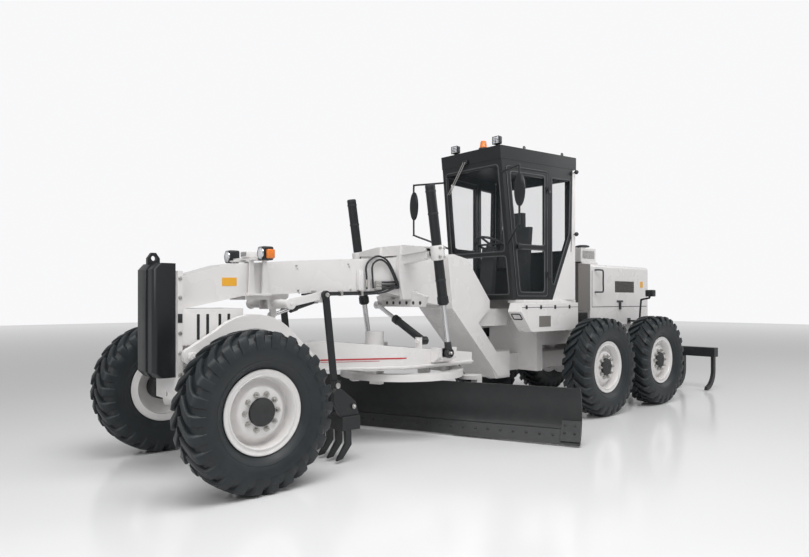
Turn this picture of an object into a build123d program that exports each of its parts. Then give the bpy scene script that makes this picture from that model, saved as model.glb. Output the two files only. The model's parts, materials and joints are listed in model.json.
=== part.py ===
from build123d import *
import math
import os

# Articulated motor grader: +X forward, +Y to the left, +Z up, ground at z = 0, millimetres.
# Stations below are measured from the front axle line; the export shifts them to the middle of the machine.

# Driving dimensions: stance
front_axle_shift = 4205.0
wheelbase = 6100.0
tandem_half = 775.0
track_half = 1030.0
tyre_radius = 675.0
tyre_width = 400.0
bead_radius = 305.0
rim_radius = 352.0
rim_half_width = 130.0
hub_radius = 118.0
spindle_radius = 60.0
shaft_gap = 0.05
face_gap = 0.5
move_gap = 6.0

# Driving dimensions: front axle and steering
kingpin_inset = 250.0
kingpin_y = track_half - kingpin_inset
kingpin_radius = 30.0
yoke_low = 545.0
yoke_high = 805.0
yoke_ear = 55.0
axle_half_depth = 90.0
knuckle_radius = 72.0
steer_arm_length = 230.0
tie_rod_radius = 25.0
tie_pin_radius = 14.0

# Driving dimensions: front frame
beam_half_width = 150.0
neck_half_width = 300.0
hinge_x = -4450.0
hinge_pin_radius = 55.0
lower_hinge = (545.0, 900.0)
upper_hinge = (1250.0, 1480.0)
hinge_ear = 60.0
push_block_x = (345.0, 560.0)
push_block_z = (935.0, 1890.0)
push_block_half_width = 205.0

# Driving dimensions: drawbar, circle and blade
ball_x = -420.0
ball_z = 1000.0
circle_x = -2550.0
circle_outer = 750.0
circle_inner = 620.0
circle_z = (690.0, 770.0)
blade_angle = 22.8
blade_length = 4200.0
blade_height = 620.0
blade_clear = 20.0
blade_depth = 120.0
blade_wall = 25.0
blade_offset = 30.78
tilt_pin_u = -330.0
tilt_pin_z = 330.0
tilt_pin_radius = 30.0
rail_radius = 24.0
rail_u = -215.0
rail_z = (180.0, 500.0)

# Driving dimensions: lift cylinders
lift_y = 720.0
lift_trunnion = (-2447.0, 2130.0)
lift_eye = (-2630.0, 990.0)
lift_above = 750.0
lift_below = 580.0
lift_barrel_radius = 57.0
lift_rod_radius = 32.0
eye_pin_radius = 25.0

# Driving dimensions: cab
cab_floor_z = 1600.0
cab_roof_z = (3400.0, 3600.0)
cab_front_x = -4010.0
cab_rear_x = -5180.0
cab_front_half = 560.0
cab_rear_half = 730.0
cab_lean = 215.0
cab_wall = 45.0
door_edge = 640.0
door_gap = 6.0
glass_wall = 8.0

# Driving dimensions: hood and chassis
rail_y = (330.0, 430.0)
chassis_z = (960.0, 1200.0)
chassis_rear_x = -7760.0
hood_x = (-7700.0, -5850.0)
hood_half_width = 550.0
hood_z = (1205.0, 2137.0)
hood_wall = 30.0

# Driving dimensions: scarifier
arm_pivot = (260.0, 1100.0)
arm_pivot_radius = 40.0
arm_y = (290.0, 350.0)
rack_half_width = 790.0
lever_pivot = (-730.0, 1560.0)
lever_end = (-1130.0, 1650.0)
lever_tip = (-745.0, 1440.0)
link_y = 420.0
link_eye = (-1240.0, 715.0)
scar_barrel_pivot = (-1290.0, 1600.0)

# Driving dimensions: ripper
ripper_pivot = (-7930.0, 760.0)
ripper_eye = (-8800.0, 820.0)
ripper_top = (-7930.0, 1330.0)
ripper_half_width = 1110.0
ripper_beam_x = (-9085.0, -8935.0)
ripper_beam_z = (590.0, 750.0)

# Driving dimensions: details of the fits
axle_z = 900.0
tow_hole_z = 737.0
tow_hole_radius = 22.0
axle_boss_x = 150.0
axle_pin_radius = 40.0
bolster_x = 300.0
bolster_half_width = 240.0
bolster_z = (1190.0, 1520.0)
steer_arm_thick = 32.0
hinge_ear_radius = 110.0
tongue_depth = 130.0
ball_pin_radius = 40.0
ball_ear = 60.0
ball_swing = 20.0
lamp_x = -450.0
saddle_reach = 600.0
shift_bar_z = (1522.0, 1608.0)
shift_x = -2440.0
shift_eye = (-330.0, 1535.0)
shift_base = (490.0, 1130.0)
shift_pin_radius = 20.0
shift_swing = 10.0
lift_pin_radius = 20.0
lift_eye_bore = 36.0
drawbar_rear_x = -3200.0
drawbar_low_z = 820.0
arm_v = (800.0, 880.0)
carrier_v = (720.0, 790.0)
tilt_base = (-690.0, 590.0)
tilt_eye = (-285.0, 575.0)
tilt_drift = 14.0
rail_half = 1320.0
arch_centre = (-360.0, 873.0)
arch_radii = (591.0, 451.0)
rack_x = (-1260.0, -1060.0)
rack_z = (375.0, 500.0)
shank_count = 11
link_pin_radius = 16.0
scar_drift = 14.0
lever_bearing = (60.0, 90.0)
hinge_out = 14.0
tandem_z = 675.0
axle_tube_radius = 150.0
case_gap = 70.0
case_outer_y = track_half - tyre_width / 2 - case_gap
case_width = 201.0
axle_clear = 300.0
ripper_ear_y = (335.0, 365.0)
ripper_cylinder_y = 200.0
ripper_top_ear_y = (256.0, 284.0)
ripper_pitch = 525.0


def block(x, y, z):
    """A box between (low, high) pairs along each axis."""
    centre = Pos((x[0] + x[1]) / 2, (y[0] + y[1]) / 2, (z[0] + z[1]) / 2)
    return centre * Box(abs(x[1] - x[0]), abs(y[1] - y[0]), abs(z[1] - z[0]))


def plate_y(outline, y):
    """A plate of (x, z) outline between two y planes."""
    face = make_face(Polyline(*[(px, y[0], pz) for px, pz in outline], close=True))
    return extrude(face, amount=y[1] - y[0], dir=(0, 1, 0))


def plate_x(outline, x):
    """A plate of (y, z) outline between two x planes."""
    face = make_face(Polyline(*[(x[0], py, pz) for py, pz in outline], close=True))
    return extrude(face, amount=x[1] - x[0], dir=(1, 0, 0))


def plate_z(outline, z):
    """A plate of (x, y) outline between two z planes."""
    face = make_face(Polyline(*[(px, py, z[0]) for px, py in outline], close=True))
    return extrude(face, amount=z[1] - z[0], dir=(0, 0, 1))


def rod(start, end, radius):
    """A round bar between two points."""
    along = Vector(*end) - Vector(*start)
    return extrude(Plane(origin=start, z_dir=along) * Circle(radius), amount=along.length)


def rod_y(x, z, y, radius):
    """A round bar along y at an (x, z) place."""
    return rod((x, y[0], z), (x, y[1], z), radius)


def spun(profile):
    """A turned piece about the y axis from (radius, y) points."""
    face = make_face(Polyline(*[(r, y, 0) for r, y in profile], close=True))
    return revolve(face, axis=Axis.Y)


def mirrored(shape):
    """The same piece on the other side of the machine."""
    return mirror(shape, about=Plane.XZ)


def both(shape):
    """A piece and its mirror image as one."""
    return shape + mirrored(shape)


def save(name, *shapes):
    """Write one named piece, moved from the front axle's frame to the middle of the machine."""
    solids = [s for shape in shapes for s in shape.solids()]
    moved = [Pos(front_axle_shift, 0, 0) * s for s in solids]
    export_step(moved[0] if len(moved) == 1 else Compound(children=moved), f"parts/{name}.step")


def along(start, end, distance):
    """The point at a distance from start towards end, in (x, z)."""
    length = math.dist(start, end)
    return tuple(a + (b - a) * distance / length for a, b in zip(start, end))


def tyre():
    """A tyre about the y axis at the origin, open towards its rim."""
    crown = tyre_radius
    half = tyre_width / 2
    wall = 32.0
    seat = rim_half_width - 15
    profile = [
        (bead_radius, seat), (rim_radius + 6, seat), (rim_radius + 70, half - 14), (500, half), (590, half - 6),
        (crown - 22, half - 12), (crown, half - 46)]
    inner = [
        (crown - wall - 25, half - 60), (rim_radius + 70, half - 14 - wall), (rim_radius + 6, seat - wall),
        (bead_radius, seat - wall)]
    outline = profile + [(r, -y) for r, y in reversed(profile)] + [(r, -y) for r, y in reversed(inner)]
    return spun(outline + inner)


def rim():
    """A dished rim with its hub; the open bore faces -y."""
    half = rim_half_width
    lip = half - 15
    barrel = bead_radius - 20
    bore = spindle_radius + shaft_gap
    profile = [
        (barrel, -half), (rim_radius, -half), (rim_radius, -lip), (bead_radius, -lip), (bead_radius, lip),
        (rim_radius, lip), (rim_radius, half), (barrel, half), (barrel, 30), (222, 58), (190, 85), (hub_radius, 85),
        (hub_radius, half), (0, half), (0, 66), (bore, 66), (bore, -90), (hub_radius + 22, -90),
        (hub_radius + 22, 45), (215, 32), (barrel, 0)]
    return spun(profile)


def wheels():
    """Six wheels, each a tyre on its rim."""
    places = [
        # name, x, side
        ("front_left", 0, 1), ("front_right", 0, -1),
        ("tandem_left_front", tandem_half - wheelbase, 1), ("tandem_left_rear", -tandem_half - wheelbase, 1),
        ("tandem_right_front", tandem_half - wheelbase, -1), ("tandem_right_rear", -tandem_half - wheelbase, -1)]
    left_tyre, left_rim = tyre(), rim()
    right_rim = mirrored(left_rim)
    for name, x, side in places:
        place = Pos(x, side * track_half, tyre_radius)
        save(f"tyre_{name}", place * left_tyre)
        save(f"rim_{name}", place * (left_rim if side > 0 else right_rim))


def knuckle():
    """The left knuckle with its kingpin, spindle and steering arm."""
    body_z = (yoke_low + yoke_ear + face_gap, yoke_high - yoke_ear - face_gap)
    arm_z = (yoke_low - steer_arm_thick - face_gap, yoke_low - face_gap)
    body = rod((0, kingpin_y, body_z[0]), (0, kingpin_y, body_z[1]), knuckle_radius)
    pin = rod((0, kingpin_y, arm_z[0]), (0, kingpin_y, yoke_high + 12), kingpin_radius)
    cap = rod((0, kingpin_y, yoke_high + face_gap), (0, kingpin_y, yoke_high + 12), kingpin_radius + 15)
    spindle = rod((0, kingpin_y, tyre_radius), (0, track_half + 60, tyre_radius), spindle_radius)
    flange = rod((0, kingpin_y + 60, tyre_radius), (0, track_half - 90 - move_gap, tyre_radius), 70)
    arm = plate_z([(50, kingpin_y + 45), (50, kingpin_y - 45), (-steer_arm_length, kingpin_y - 30),
                   (-steer_arm_length, kingpin_y + 30)], arm_z)
    end = (-steer_arm_length, kingpin_y)
    arm += rod((*end, arm_z[0]), (*end, arm_z[1]), 30)
    arm -= rod((*end, arm_z[0] - 1), (*end, arm_z[1] + 1), tie_pin_radius + shaft_gap)
    return body + pin + cap + spindle + flange + arm


def tie_rod():
    """The bar that joins the two steering arms, on a pin at each end."""
    low = yoke_low
    z = low + tie_rod_radius
    bar = rod((-steer_arm_length, -kingpin_y, z), (-steer_arm_length, kingpin_y, z), tie_rod_radius - 4)
    end = (-steer_arm_length, kingpin_y)
    ball = rod((*end, low), (*end, low + 2 * tie_rod_radius), tie_rod_radius + 7)
    pin = rod((*end, low - steer_arm_thick - 10), (*end, low + 10), tie_pin_radius)
    return bar + both(ball + pin)


def front_frame():
    """The box beam with its sloped nose, the gooseneck, the hinge ears and the drawbar's front pin."""
    beam = plate_y([
        (300, 1507), (300, 1806), (-150, 1940), (-1000, 2010), (-2080, 2080), (-3150, 2170), (-3300, 1500),
        (-2860, 1560), (-2080, 1700), (-1000, 1670), (-340, 1637)], (-beam_half_width, beam_half_width))
    neck = plate_y([
        (-3050, 2130), (-3150, 2170), (-3400, 2120), (-3840, 1590), (-3840, 1480), (-3620, 1300), (-4270, 580),
        (-4010, 580), (-3130, 1490)], (-neck_half_width, neck_half_width))
    low, high = lower_hinge
    root_x = hinge_x + 170
    hitch = plate_y([(-3850, 760), (-3980, high), (root_x, high), (root_x, low), (-4000, low)],
                    (-neck_half_width + 20, neck_half_width - 20))
    tower = plate_y([(-3700, upper_hinge[0]), (-3700, upper_hinge[1]), (root_x, upper_hinge[1]),
                     (root_x, upper_hinge[0])], (-240, 240))
    body = beam + neck + hitch + tower
    for z in (low, high - hinge_ear, upper_hinge[0], upper_hinge[1] - hinge_ear):
        body += plate_z([(root_x + 10, 230), (hinge_x, hinge_ear_radius), (hinge_x, -hinge_ear_radius),
                         (root_x + 10, -230)], (z, z + hinge_ear))
        body += rod((hinge_x, 0, z), (hinge_x, 0, z + hinge_ear), hinge_ear_radius)
    for z0, z1 in (lower_hinge, upper_hinge):
        body += rod((hinge_x, 0, z0), (hinge_x, 0, z1), hinge_pin_radius)
    body += block((-bolster_x, bolster_x), (-bolster_half_width, bolster_half_width), bolster_z)
    for side in (-1, 1):
        x = sorted((side * (axle_boss_x + face_gap), side * bolster_x))
        body += block(x, (-160, 160), (axle_z - 115, bolster_z[0] + 1))
    body += rod((-axle_boss_x - 10, 0, axle_z), (axle_boss_x + 10, 0, axle_z), axle_pin_radius)
    ear = block((ball_x - ball_ear, -bolster_x + 1), (56, 110), (ball_z - 60, ball_z + 60))
    body += both(ear) + rod_y(ball_x, ball_z, (-110, 110), ball_pin_radius)
    body += block((ball_x + 110, -bolster_x + 1), (-110, 110), (ball_z - 60, ball_z + 60))
    x, z = arm_pivot
    body += block((300, push_block_x[0]), (-250, 250), (690, 1860))
    body -= rod((299, 0, tow_hole_z), (push_block_x[0] + 1, 0, tow_hole_z), tow_hole_radius)
    body += block((bolster_x - 1, 301), (-200, 200), (axle_z - 115, 1500))
    return body + rod_y(x, z, (-arm_y[1] - 40, arm_y[1] + 40), arm_pivot_radius)


def front_axle():
    """The arched axle beam with a fork at each end for the knuckle."""
    fork_y = kingpin_y - knuckle_radius - move_gap
    half_outline = [(0, axle_z + 105), (330, axle_z + 75), (fork_y, yoke_high), (fork_y, yoke_low),
                    (fork_y - 130, yoke_low), (330, axle_z - 150), (0, axle_z - 105)]
    beam = both(plate_x(half_outline, (-axle_half_depth, axle_half_depth)))
    for low in (yoke_low, yoke_high - yoke_ear):
        ear = rod((0, kingpin_y, low), (0, kingpin_y, low + yoke_ear), knuckle_radius)
        ear += block((-knuckle_radius, knuckle_radius), (fork_y - 1, kingpin_y), (low, low + yoke_ear))
        beam += both(ear)
    bore = rod((0, kingpin_y, yoke_low - 1), (0, kingpin_y, yoke_high + 1), kingpin_radius + shaft_gap)
    boss = rod((-axle_boss_x, 0, axle_z), (axle_boss_x, 0, axle_z), 95)
    hole = rod((-axle_boss_x - 1, 0, axle_z), (axle_boss_x + 1, 0, axle_z), axle_pin_radius)
    return beam + boss - bore - mirrored(bore) - hole


def push_block():
    """The counterweight block at the nose with its lifting eye."""
    x0, x1 = push_block_x
    z0, z1 = push_block_z
    w = push_block_half_width
    body = plate_y([(x0, z0), (x0, z1 - 25), (x0 + 60, z1), (x1 - 70, z1), (x1, z1 - 60), (x1, z0 + 60),
                    (x1 - 60, z0)], (-w, w))
    hook = plate_y([(x0 + 80, z1 - 5), (x0 + 80, z1 + 75), (x0 + 105, z1 + 110), (x0 + 145, z1 + 110),
                    (x0 + 170, z1 + 75), (x0 + 170, z1 - 5)], (-22, 22))
    return body + hook - rod_y(x0 + 125, z1 + 60, (-30, 30), 24)


def lamp_post():
    """The two posts on the nose with a cross bar and a pair of headlamps."""
    x = lamp_x
    post = plate_x([(beam_half_width, 1660), (beam_half_width + 70, 1660), (beam_half_width + 40, 1980),
                    (beam_half_width, 1980)], (x - 45, x + 45))
    bar = block((x - 30, x + 30), (-beam_half_width - 150, beam_half_width + 150), (1980, 2010))
    lamp = block((x - 10, x + 100), (beam_half_width + 60, beam_half_width + 150), (2010, 2110))
    lamp += block((x - 10, x + 60), (beam_half_width + 150, beam_half_width + 200), (2020, 2100))
    return both(post) + bar + both(lamp)


def saddle():
    """The yoke on the beam that carries the two lift cylinders, with the row of centre shift holes."""
    x, z = lift_trunnion
    top = block((x - 90, x + 90), (-saddle_reach, saddle_reach), (2125, 2235))
    cheek = block((x - 130, x + 110), (beam_half_width, beam_half_width + 60), (1540, 2235))
    arm = block((x - 60, x + 60), (beam_half_width + 50, saddle_reach), (z - 60, z + 60))
    bar = block((x - 130, x - 70), (-430, 430), shift_bar_z)
    hole_z = sum(shift_bar_z) / 2
    for y in range(-360, 361, 120):
        bar -= rod((x - 131, y, hole_z), (x - 69, y, hole_z), 24)
    lug = rod((x - 71, *shift_eye), (shift_x + 40, *shift_eye), shift_pin_radius)
    lug += block((x - 71, shift_x - 30), (shift_eye[0] - 45, shift_eye[0] + 45), (shift_eye[1] - 45, shift_bar_z[1]))
    pin = rod_y(x, z, (saddle_reach - 1, lift_y - lift_barrel_radius - 1), eye_pin_radius)
    return top + both(cheek) + both(arm) + bar + lug + both(pin)


def cylinder(head, eye, y, above, below, radius, rod_size, inward):
    """The barrel and the rod of a hydraulic cylinder in a plane at y; inward is the travel left behind the rod."""
    def at(distance):
        px, pz = along(head, eye, distance)
        return (px, y, pz)
    barrel = rod(at(-above), at(below), radius) + rod(at(below - 80), at(below), radius + 8)
    barrel -= rod(at(-above + 50), at(below + 5), rod_size + shaft_gap)
    bar = rod(at(-above + 60 + inward), at(math.dist(head, eye)), rod_size)
    return barrel, bar


def lift_cylinders():
    """Two barrels on the saddle's trunnions with their rods down to the drawbar."""
    barrel, bar = cylinder(lift_trunnion, lift_eye, lift_y, lift_above, lift_below, lift_barrel_radius,
                           lift_rod_radius, 315)
    x, z = lift_trunnion
    inner_y = lift_y - lift_barrel_radius
    hub = rod_y(x, z, (inner_y - 38, inner_y + 12), eye_pin_radius + 15)
    hub -= rod_y(x, z, (inner_y - 39, inner_y + 5), eye_pin_radius + shaft_gap)
    bar += rod_y(*lift_eye, (lift_y - 30, lift_y + 30), 50)
    bar -= rod_y(*lift_eye, (lift_y - lift_rod_radius - 1, lift_y + lift_rod_radius + 1), lift_eye_bore)
    return barrel + hub, bar


def drawbar():
    """The A-shaped bar from the front pin to the circle, with lift lugs, shoes and the circle drive."""
    rear = drawbar_rear_x
    front = ball_x - ball_ear - ball_swing
    plan = [(front, 85), (-1200, 100), (-2050, 560), (rear, 560), (rear, -560), (-2050, -560), (-1200, -100),
            (front, -85)]
    gap = [(-1500, 0), (-2100, 420), (rear + 160, 420), (rear + 160, -420), (-2100, -420)]
    side = [(front, ball_z - 70), (front, ball_z + 70), (-1350, 1150), (rear, 960),
            (rear, drawbar_low_z), (-1700, drawbar_low_z)]
    body = plate_z(plan, (700, 1300)) - plate_z(gap, (700, 1300))
    body = body & plate_y(side, (-600, 600))
    eye = rod_y(ball_x, ball_z, (-50, 50), 72) + block((front - 1, ball_x), (-50, 50), (ball_z - 60, ball_z + 60))
    body += eye
    body -= rod_y(ball_x, ball_z, (-51, 51), ball_pin_radius + shaft_gap)
    x, z = lift_eye
    lug = block((x - 70, x + 70), (558, lift_y - lift_rod_radius - 5), (z - 90, z + 55))
    lug += rod_y(x, z, (lift_y - lift_rod_radius - 6, lift_y + lift_rod_radius), lift_pin_radius)
    body += both(lug)
    y, z = shift_base
    face_x = shift_x + 46 + shift_swing
    body += block((face_x, face_x + 22), (y - 45, y + 45), (drawbar_low_z + 10, z + 40))
    body += rod((face_x, y, z), (face_x + 50, y, z), eye_pin_radius)
    shoes = shoe_ring()
    drive = rod((circle_x + 430, 0, circle_z[0] + 20), (circle_x + 430, 0, 1230), 110)
    drive += block((circle_x + 330, circle_x + 640), (-160, 160), (drawbar_low_z, 1050))
    drive += block((circle_x + 500, circle_x + 700), (-400, 400), (drawbar_low_z, drawbar_low_z + 110))
    return body + shoes + drive


def shoe_ring():
    """Four clamps that hold the circle from its inside, each cut out of one turned section."""
    low, high = circle_z
    inner = circle_inner
    section = [(inner - 50, low - 46), (inner + 30, low - 46), (inner + 30, low - 6), (inner - 6, low - 6),
               (inner - 6, high + face_gap), (inner + 120, high + face_gap), (inner + 120, drawbar_low_z + 1),
               (inner - 50, drawbar_low_z + 1)]
    ring = revolve(make_face(Polyline(*[(r, 0, z) for r, z in section], close=True)), axis=Axis.Z)
    shoes = None
    for angle in (20, 160, 200, 340):
        cutter = Rot(0, 0, angle) * block((inner - 60, inner + 130), (-70, 70), (600, 900))
        shoe = ring & cutter
        shoes = shoe if shoes is None else shoes + shoe
    return Pos(circle_x, 0, 0) * shoes


def turned(shape):
    """A piece drawn with the blade square across, turned to the blade's angle about the circle's centre."""
    return Pos(circle_x, 0, 0) * Rot(0, 0, blade_angle) * shape


def circle():
    """The turntable ring with the two blade arms under it."""
    low, high = circle_z
    ring = rod((0, 0, low), (0, 0, high), circle_outer)
    ring -= rod((0, 0, low - 1), (0, 0, high + 1), circle_inner)
    arm = plate_y([(-260, low), (-430, low), (-440, 420), (-395, 215), (-360, 180), (-310, 178), (-280, 210),
                   (-262, 320)], arm_v)
    arm += block((-430, -200), (circle_inner + 45, arm_v[1]), (low - 45, low))
    arm -= rod_y(tilt_pin_u, tilt_pin_z, (arm_v[0] - 1, arm_v[1] + 1), tilt_pin_radius + shaft_gap)
    x, z = tilt_base
    lug = block((x - 40, x + 22), (52, 70), (z - 40, low + 1))
    lug += rod_y(x, z, (-30, 70), eye_pin_radius - 5)
    return turned(ring + both(arm) + lug)


def blade_carrier():
    """The frame that tilts between the arms and guides the blade's rails."""
    plate = plate_y([(-160, 120), (-160, 560), (-262, 590), (-400, 330), (-395, 190), (-300, 120)], carrier_v)
    plate += rod_y(tilt_pin_u, tilt_pin_z, (carrier_v[1] - 1, arm_v[1] + 12), tilt_pin_radius)
    for z in rail_z:
        plate -= rod_y(rail_u, z, (carrier_v[0] - 1, carrier_v[1] + 1), rail_radius + shaft_gap)
    tube = rod_y(-330, 330, (-carrier_v[0] - 1, carrier_v[0] + 1), 55)
    x, z = tilt_eye
    lug = plate_y([(-360, 330), (x - 35, z), (x + 35, z), (-300, 330)], (28, 52))
    lug += rod_y(x, z, (-30, 52), eye_pin_radius - 5)
    return turned(both(plate) + tube + lug)


def moldboard():
    """The curved blade with its cutting edge, end bits and two round rails on the back."""
    half = blade_length / 2
    low = blade_clear
    high = blade_clear + blade_height
    depth = blade_depth
    with BuildSketch(Plane.XZ) as section:
        with BuildLine():
            front = ThreePointArc((0, low), (-depth, low + blade_height * 0.45), (-10, high))
            Line(front @ 1, (-10 - blade_wall, high))
            back = ThreePointArc((-10 - blade_wall, high), (-depth - blade_wall, low + blade_height * 0.45),
                                 (-blade_wall, low))
            Line(back @ 1, front @ 0)
        make_face()
    shell = extrude(section.sketch, amount=half, both=True)
    body = shell
    for z in rail_z:
        body += rod_y(rail_u, z, (-rail_half, rail_half), rail_radius)
    for y in (-rail_half + 20, 0, rail_half - 20):
        bracket = plate_y([(-75, 100), (-135, 130), (rail_u - 30, 150), (rail_u - 30, 530), (-100, 545)], (y - 20, y + 20))
        body += bracket - shell
    return turned(Pos(0, blade_offset, 0) * body)


def tilt_cylinder():
    """The short cylinder between the circle and the blade carrier."""
    barrel, bar = cylinder(tilt_base, tilt_eye, 0, 0, 250, 42, 24, 25)
    barrel += rod_y(*tilt_base, (-25, 25), 38)
    barrel -= rod_y(*tilt_base, (-43, 43), eye_pin_radius - 5 + shaft_gap)
    bar += rod_y(*tilt_eye, (-25, 25), 40)
    bar -= rod_y(*tilt_eye, (-26, 26), eye_pin_radius - 5 + tilt_drift)
    return turned(barrel), turned(bar)


def shift_cylinder():
    """The centre shift cylinder, from its pin on the hole bar across and down to the drawbar's left beam."""
    length = math.dist(shift_eye, shift_base)

    def at(distance):
        y, z = along(shift_eye, shift_base, distance)
        return (shift_x, y, z)
    gland = length * 0.4
    barrel = rod(at(gland), at(length), 45) + rod(at(gland), at(gland + 70), 52)
    barrel -= rod(at(gland - 1), at(length - 60), 25 + shaft_gap)
    barrel += rod((shift_x - 46, *shift_base), (shift_x + 46, *shift_base), 48)
    bar = rod(at(0), at(length - 240), 25)
    bar += rod((shift_x - 28, *shift_eye), (shift_x + 28, *shift_eye), 46)
    bar -= rod((shift_x - 30, *shift_eye), (shift_x + 30, *shift_eye), shift_pin_radius + shaft_gap)
    return barrel, bar


def scarifier_arms():
    """The two arched arms over the front axle, pinned to the cross tube at the nose."""
    cx, cz = arch_centre
    outer, inner = arch_radii

    def on(radius, degrees):
        return (cx + radius * math.cos(math.radians(degrees)), cz + radius * math.sin(math.radians(degrees)))
    with BuildSketch(Plane.XZ) as sketch:
        with BuildLine():
            top = ThreePointArc(on(outer, 50), on(outer, 90), on(outer, 130))
            Polyline(top @ 1, (-1110, 965), (-1190, 700), (-1060, 700), (-1010, 880), on(inner, 130))
            low = ThreePointArc(on(inner, 130), on(inner, 90), on(inner, 50))
            Polyline(low @ 1, (arm_pivot[0] - 40, arm_pivot[1] - 60), (arm_pivot[0] + 40, arm_pivot[1] + 60), top @ 0)
        make_face()
    arm = Pos(0, arm_y[0], 0) * extrude(sketch.sketch, amount=-(arm_y[1] - arm_y[0]))
    arm += rod_y(*arm_pivot, arm_y, arm_pivot_radius + 35)
    arm -= rod_y(*arm_pivot, (arm_y[0] - 1, arm_y[1] + 1), arm_pivot_radius + shaft_gap)
    return both(arm)


def scarifier_rack():
    """The tooth bar with its curved shanks, end plates and link clevises."""
    w = rack_half_width
    body = block(rack_x, (-w, w), rack_z)
    plate = plate_y([(-1250, rack_z[1]), (-1060, rack_z[1]), (-1000, 700), (-1060, 790), (-1290, 790), (-1290, 600)],
                    (w - 60, w))
    clevis = plate_y([(-1260, rack_z[1] - 1), (-1090, rack_z[1] - 1), (-1190, 760), (-1275, 760)],
                    (link_y + 22 + face_gap, link_y + 56))
    seat = plate_y([(-1260, rack_z[1] - 1), (-1060, rack_z[1] - 1), (-1060, 700), (-1190, 700)], arm_y)
    body += both(plate) + both(clevis) + both(seat)
    with BuildSketch(Plane.XZ) as sketch:
        with BuildLine():
            front = ThreePointArc((-1120, rack_z[0] + 20), (-1095, 170), (-1015, 35))
            Line(front @ 1, (-1055, 30))
            back = ThreePointArc((-1055, 30), (-1165, 170), (-1185, rack_z[0] + 20))
            Line(back @ 1, front @ 0)
        make_face()
    for i in range(shank_count):
        y = -w + 30 + i * (2 * w - 60) / (shank_count - 1)
        body += Pos(0, y + 16, 0) * extrude(sketch.sketch, amount=32)
    return body


def scarifier_lever():
    """The lift shaft under the beam: two long arms to the links and a short one down to the cylinder."""
    shaft = rod_y(*lever_pivot, (-link_y + 24, link_y - 24), 45)
    arm = plate_y([(lever_pivot[0] + 40, lever_pivot[1] - 40), (lever_pivot[0], lever_pivot[1] + 45),
                   (lever_end[0], lever_end[1] + 40), (lever_end[0], lever_end[1] - 40)], (link_y - 64, link_y - 26))
    arm += rod_y(*lever_end, (link_y - 64, link_y - 26), 42)
    arm += rod_y(*lever_end, (link_y - 30, link_y + 26), link_pin_radius)
    tip = plate_y([(lever_pivot[0] - 40, lever_pivot[1]), (lever_pivot[0] + 40, lever_pivot[1]),
                   (lever_tip[0] + 28, lever_tip[1]), (lever_tip[0] - 28, lever_tip[1])], (24, 46))
    tip += rod_y(*lever_tip, (24, 46), 28) + rod_y(*lever_tip, (-24, 30), link_pin_radius)
    body = shaft + both(arm) + tip
    for side in (-1, 1):
        hanger = sorted((side * lever_bearing[0], side * lever_bearing[1]))
        groove = rod_y(*lever_pivot, (hanger[0] - 1, hanger[1] + 1), 46) - rod_y(
            *lever_pivot, (hanger[0] - 2, hanger[1] + 2), 30)
        body -= groove
    return body


def lever_hangers():
    """The two bearing plates under the beam that carry the scarifier's lift shaft."""
    x, z = lever_pivot
    plate = plate_y([(x - 75, z - 55), (x + 75, z - 55), (x + 90, 1700), (x - 90, 1700)],
                    lever_bearing)
    plate -= rod_y(x, z, (lever_bearing[0] - 1, lever_bearing[1] + 1), 30 + shaft_gap)
    x, z = scar_barrel_pivot
    ear = plate_y([(x - 50, z - 30), (x + 50, z - 30), (x + 70, 1700), (x - 70, 1700)], (50, 72))
    ear += rod_y(x, z, (-1, 60), link_pin_radius)
    return both(plate) + both(ear)


def scarifier_links():
    """The two bars from the lever's ends down to the rack."""
    def at(distance):
        px, pz = along(lever_end, link_eye, distance)
        return (px, link_y, pz)
    length = math.dist(lever_end, link_eye)
    bar = rod(at(0), at(length), 20)
    bar += rod_y(*lever_end, (link_y - 22, link_y + 22), 42)
    bar += rod_y(*link_eye, (link_y - 22, link_y + 22), 42)
    bar -= rod_y(*lever_end, (link_y - 25, link_y + 25), link_pin_radius + shaft_gap)
    return bar, mirrored(bar)


def scarifier_cylinder():
    """The cylinder under the beam that works the lever."""
    length = math.dist(scar_barrel_pivot, lever_tip)
    barrel, bar = cylinder(scar_barrel_pivot, lever_tip, 0, 0, length * 0.6, 36, 20, 60)
    barrel += rod_y(*scar_barrel_pivot, (-22, 22), 40)
    barrel -= rod_y(*scar_barrel_pivot, (-37, 37), link_pin_radius + shaft_gap)
    bar += rod_y(*lever_tip, (-20, 20), 36)
    bar -= rod_y(*lever_tip, (-21, 21), link_pin_radius + scar_drift)
    return barrel, bar


def cab_side_plane():
    """The slanted plane of the left cab wall: x along the wall rearward from the front corner, y up."""
    run = cab_front_x - cab_rear_x
    rise = cab_rear_half - cab_front_half
    length = math.hypot(run, rise)
    return Plane(origin=(cab_front_x, cab_front_half, 0), x_dir=(-run / length, rise / length, 0),
                 z_dir=(rise / length, run / length, 0))


def cab_side_length():
    """The length of the cab wall from its front corner to its rear corner."""
    return math.hypot(cab_front_x - cab_rear_x, cab_rear_half - cab_front_half)


def wall(outline, depth=(0.0, cab_wall)):
    """A plate of (s, z) outline in the left cab wall, between two depths behind its outer face."""
    plane = cab_side_plane().offset(-depth[1])
    return extrude(plane * make_face(Polyline(*outline, close=True)), amount=depth[1] - depth[0])


def front_edge(z):
    """Where the leaning front corner lies along the wall at a height."""
    return -cab_lean * (z - cab_floor_z) / (cab_roof_z[0] - cab_floor_z)


def door_outline():
    """The doorway in the left wall."""
    low, high = cab_floor_z + 35, cab_roof_z[0] - 70
    return [(front_edge(low) + 60, low), (door_edge, low), (door_edge, high), (front_edge(high) + 60, high)]


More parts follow.
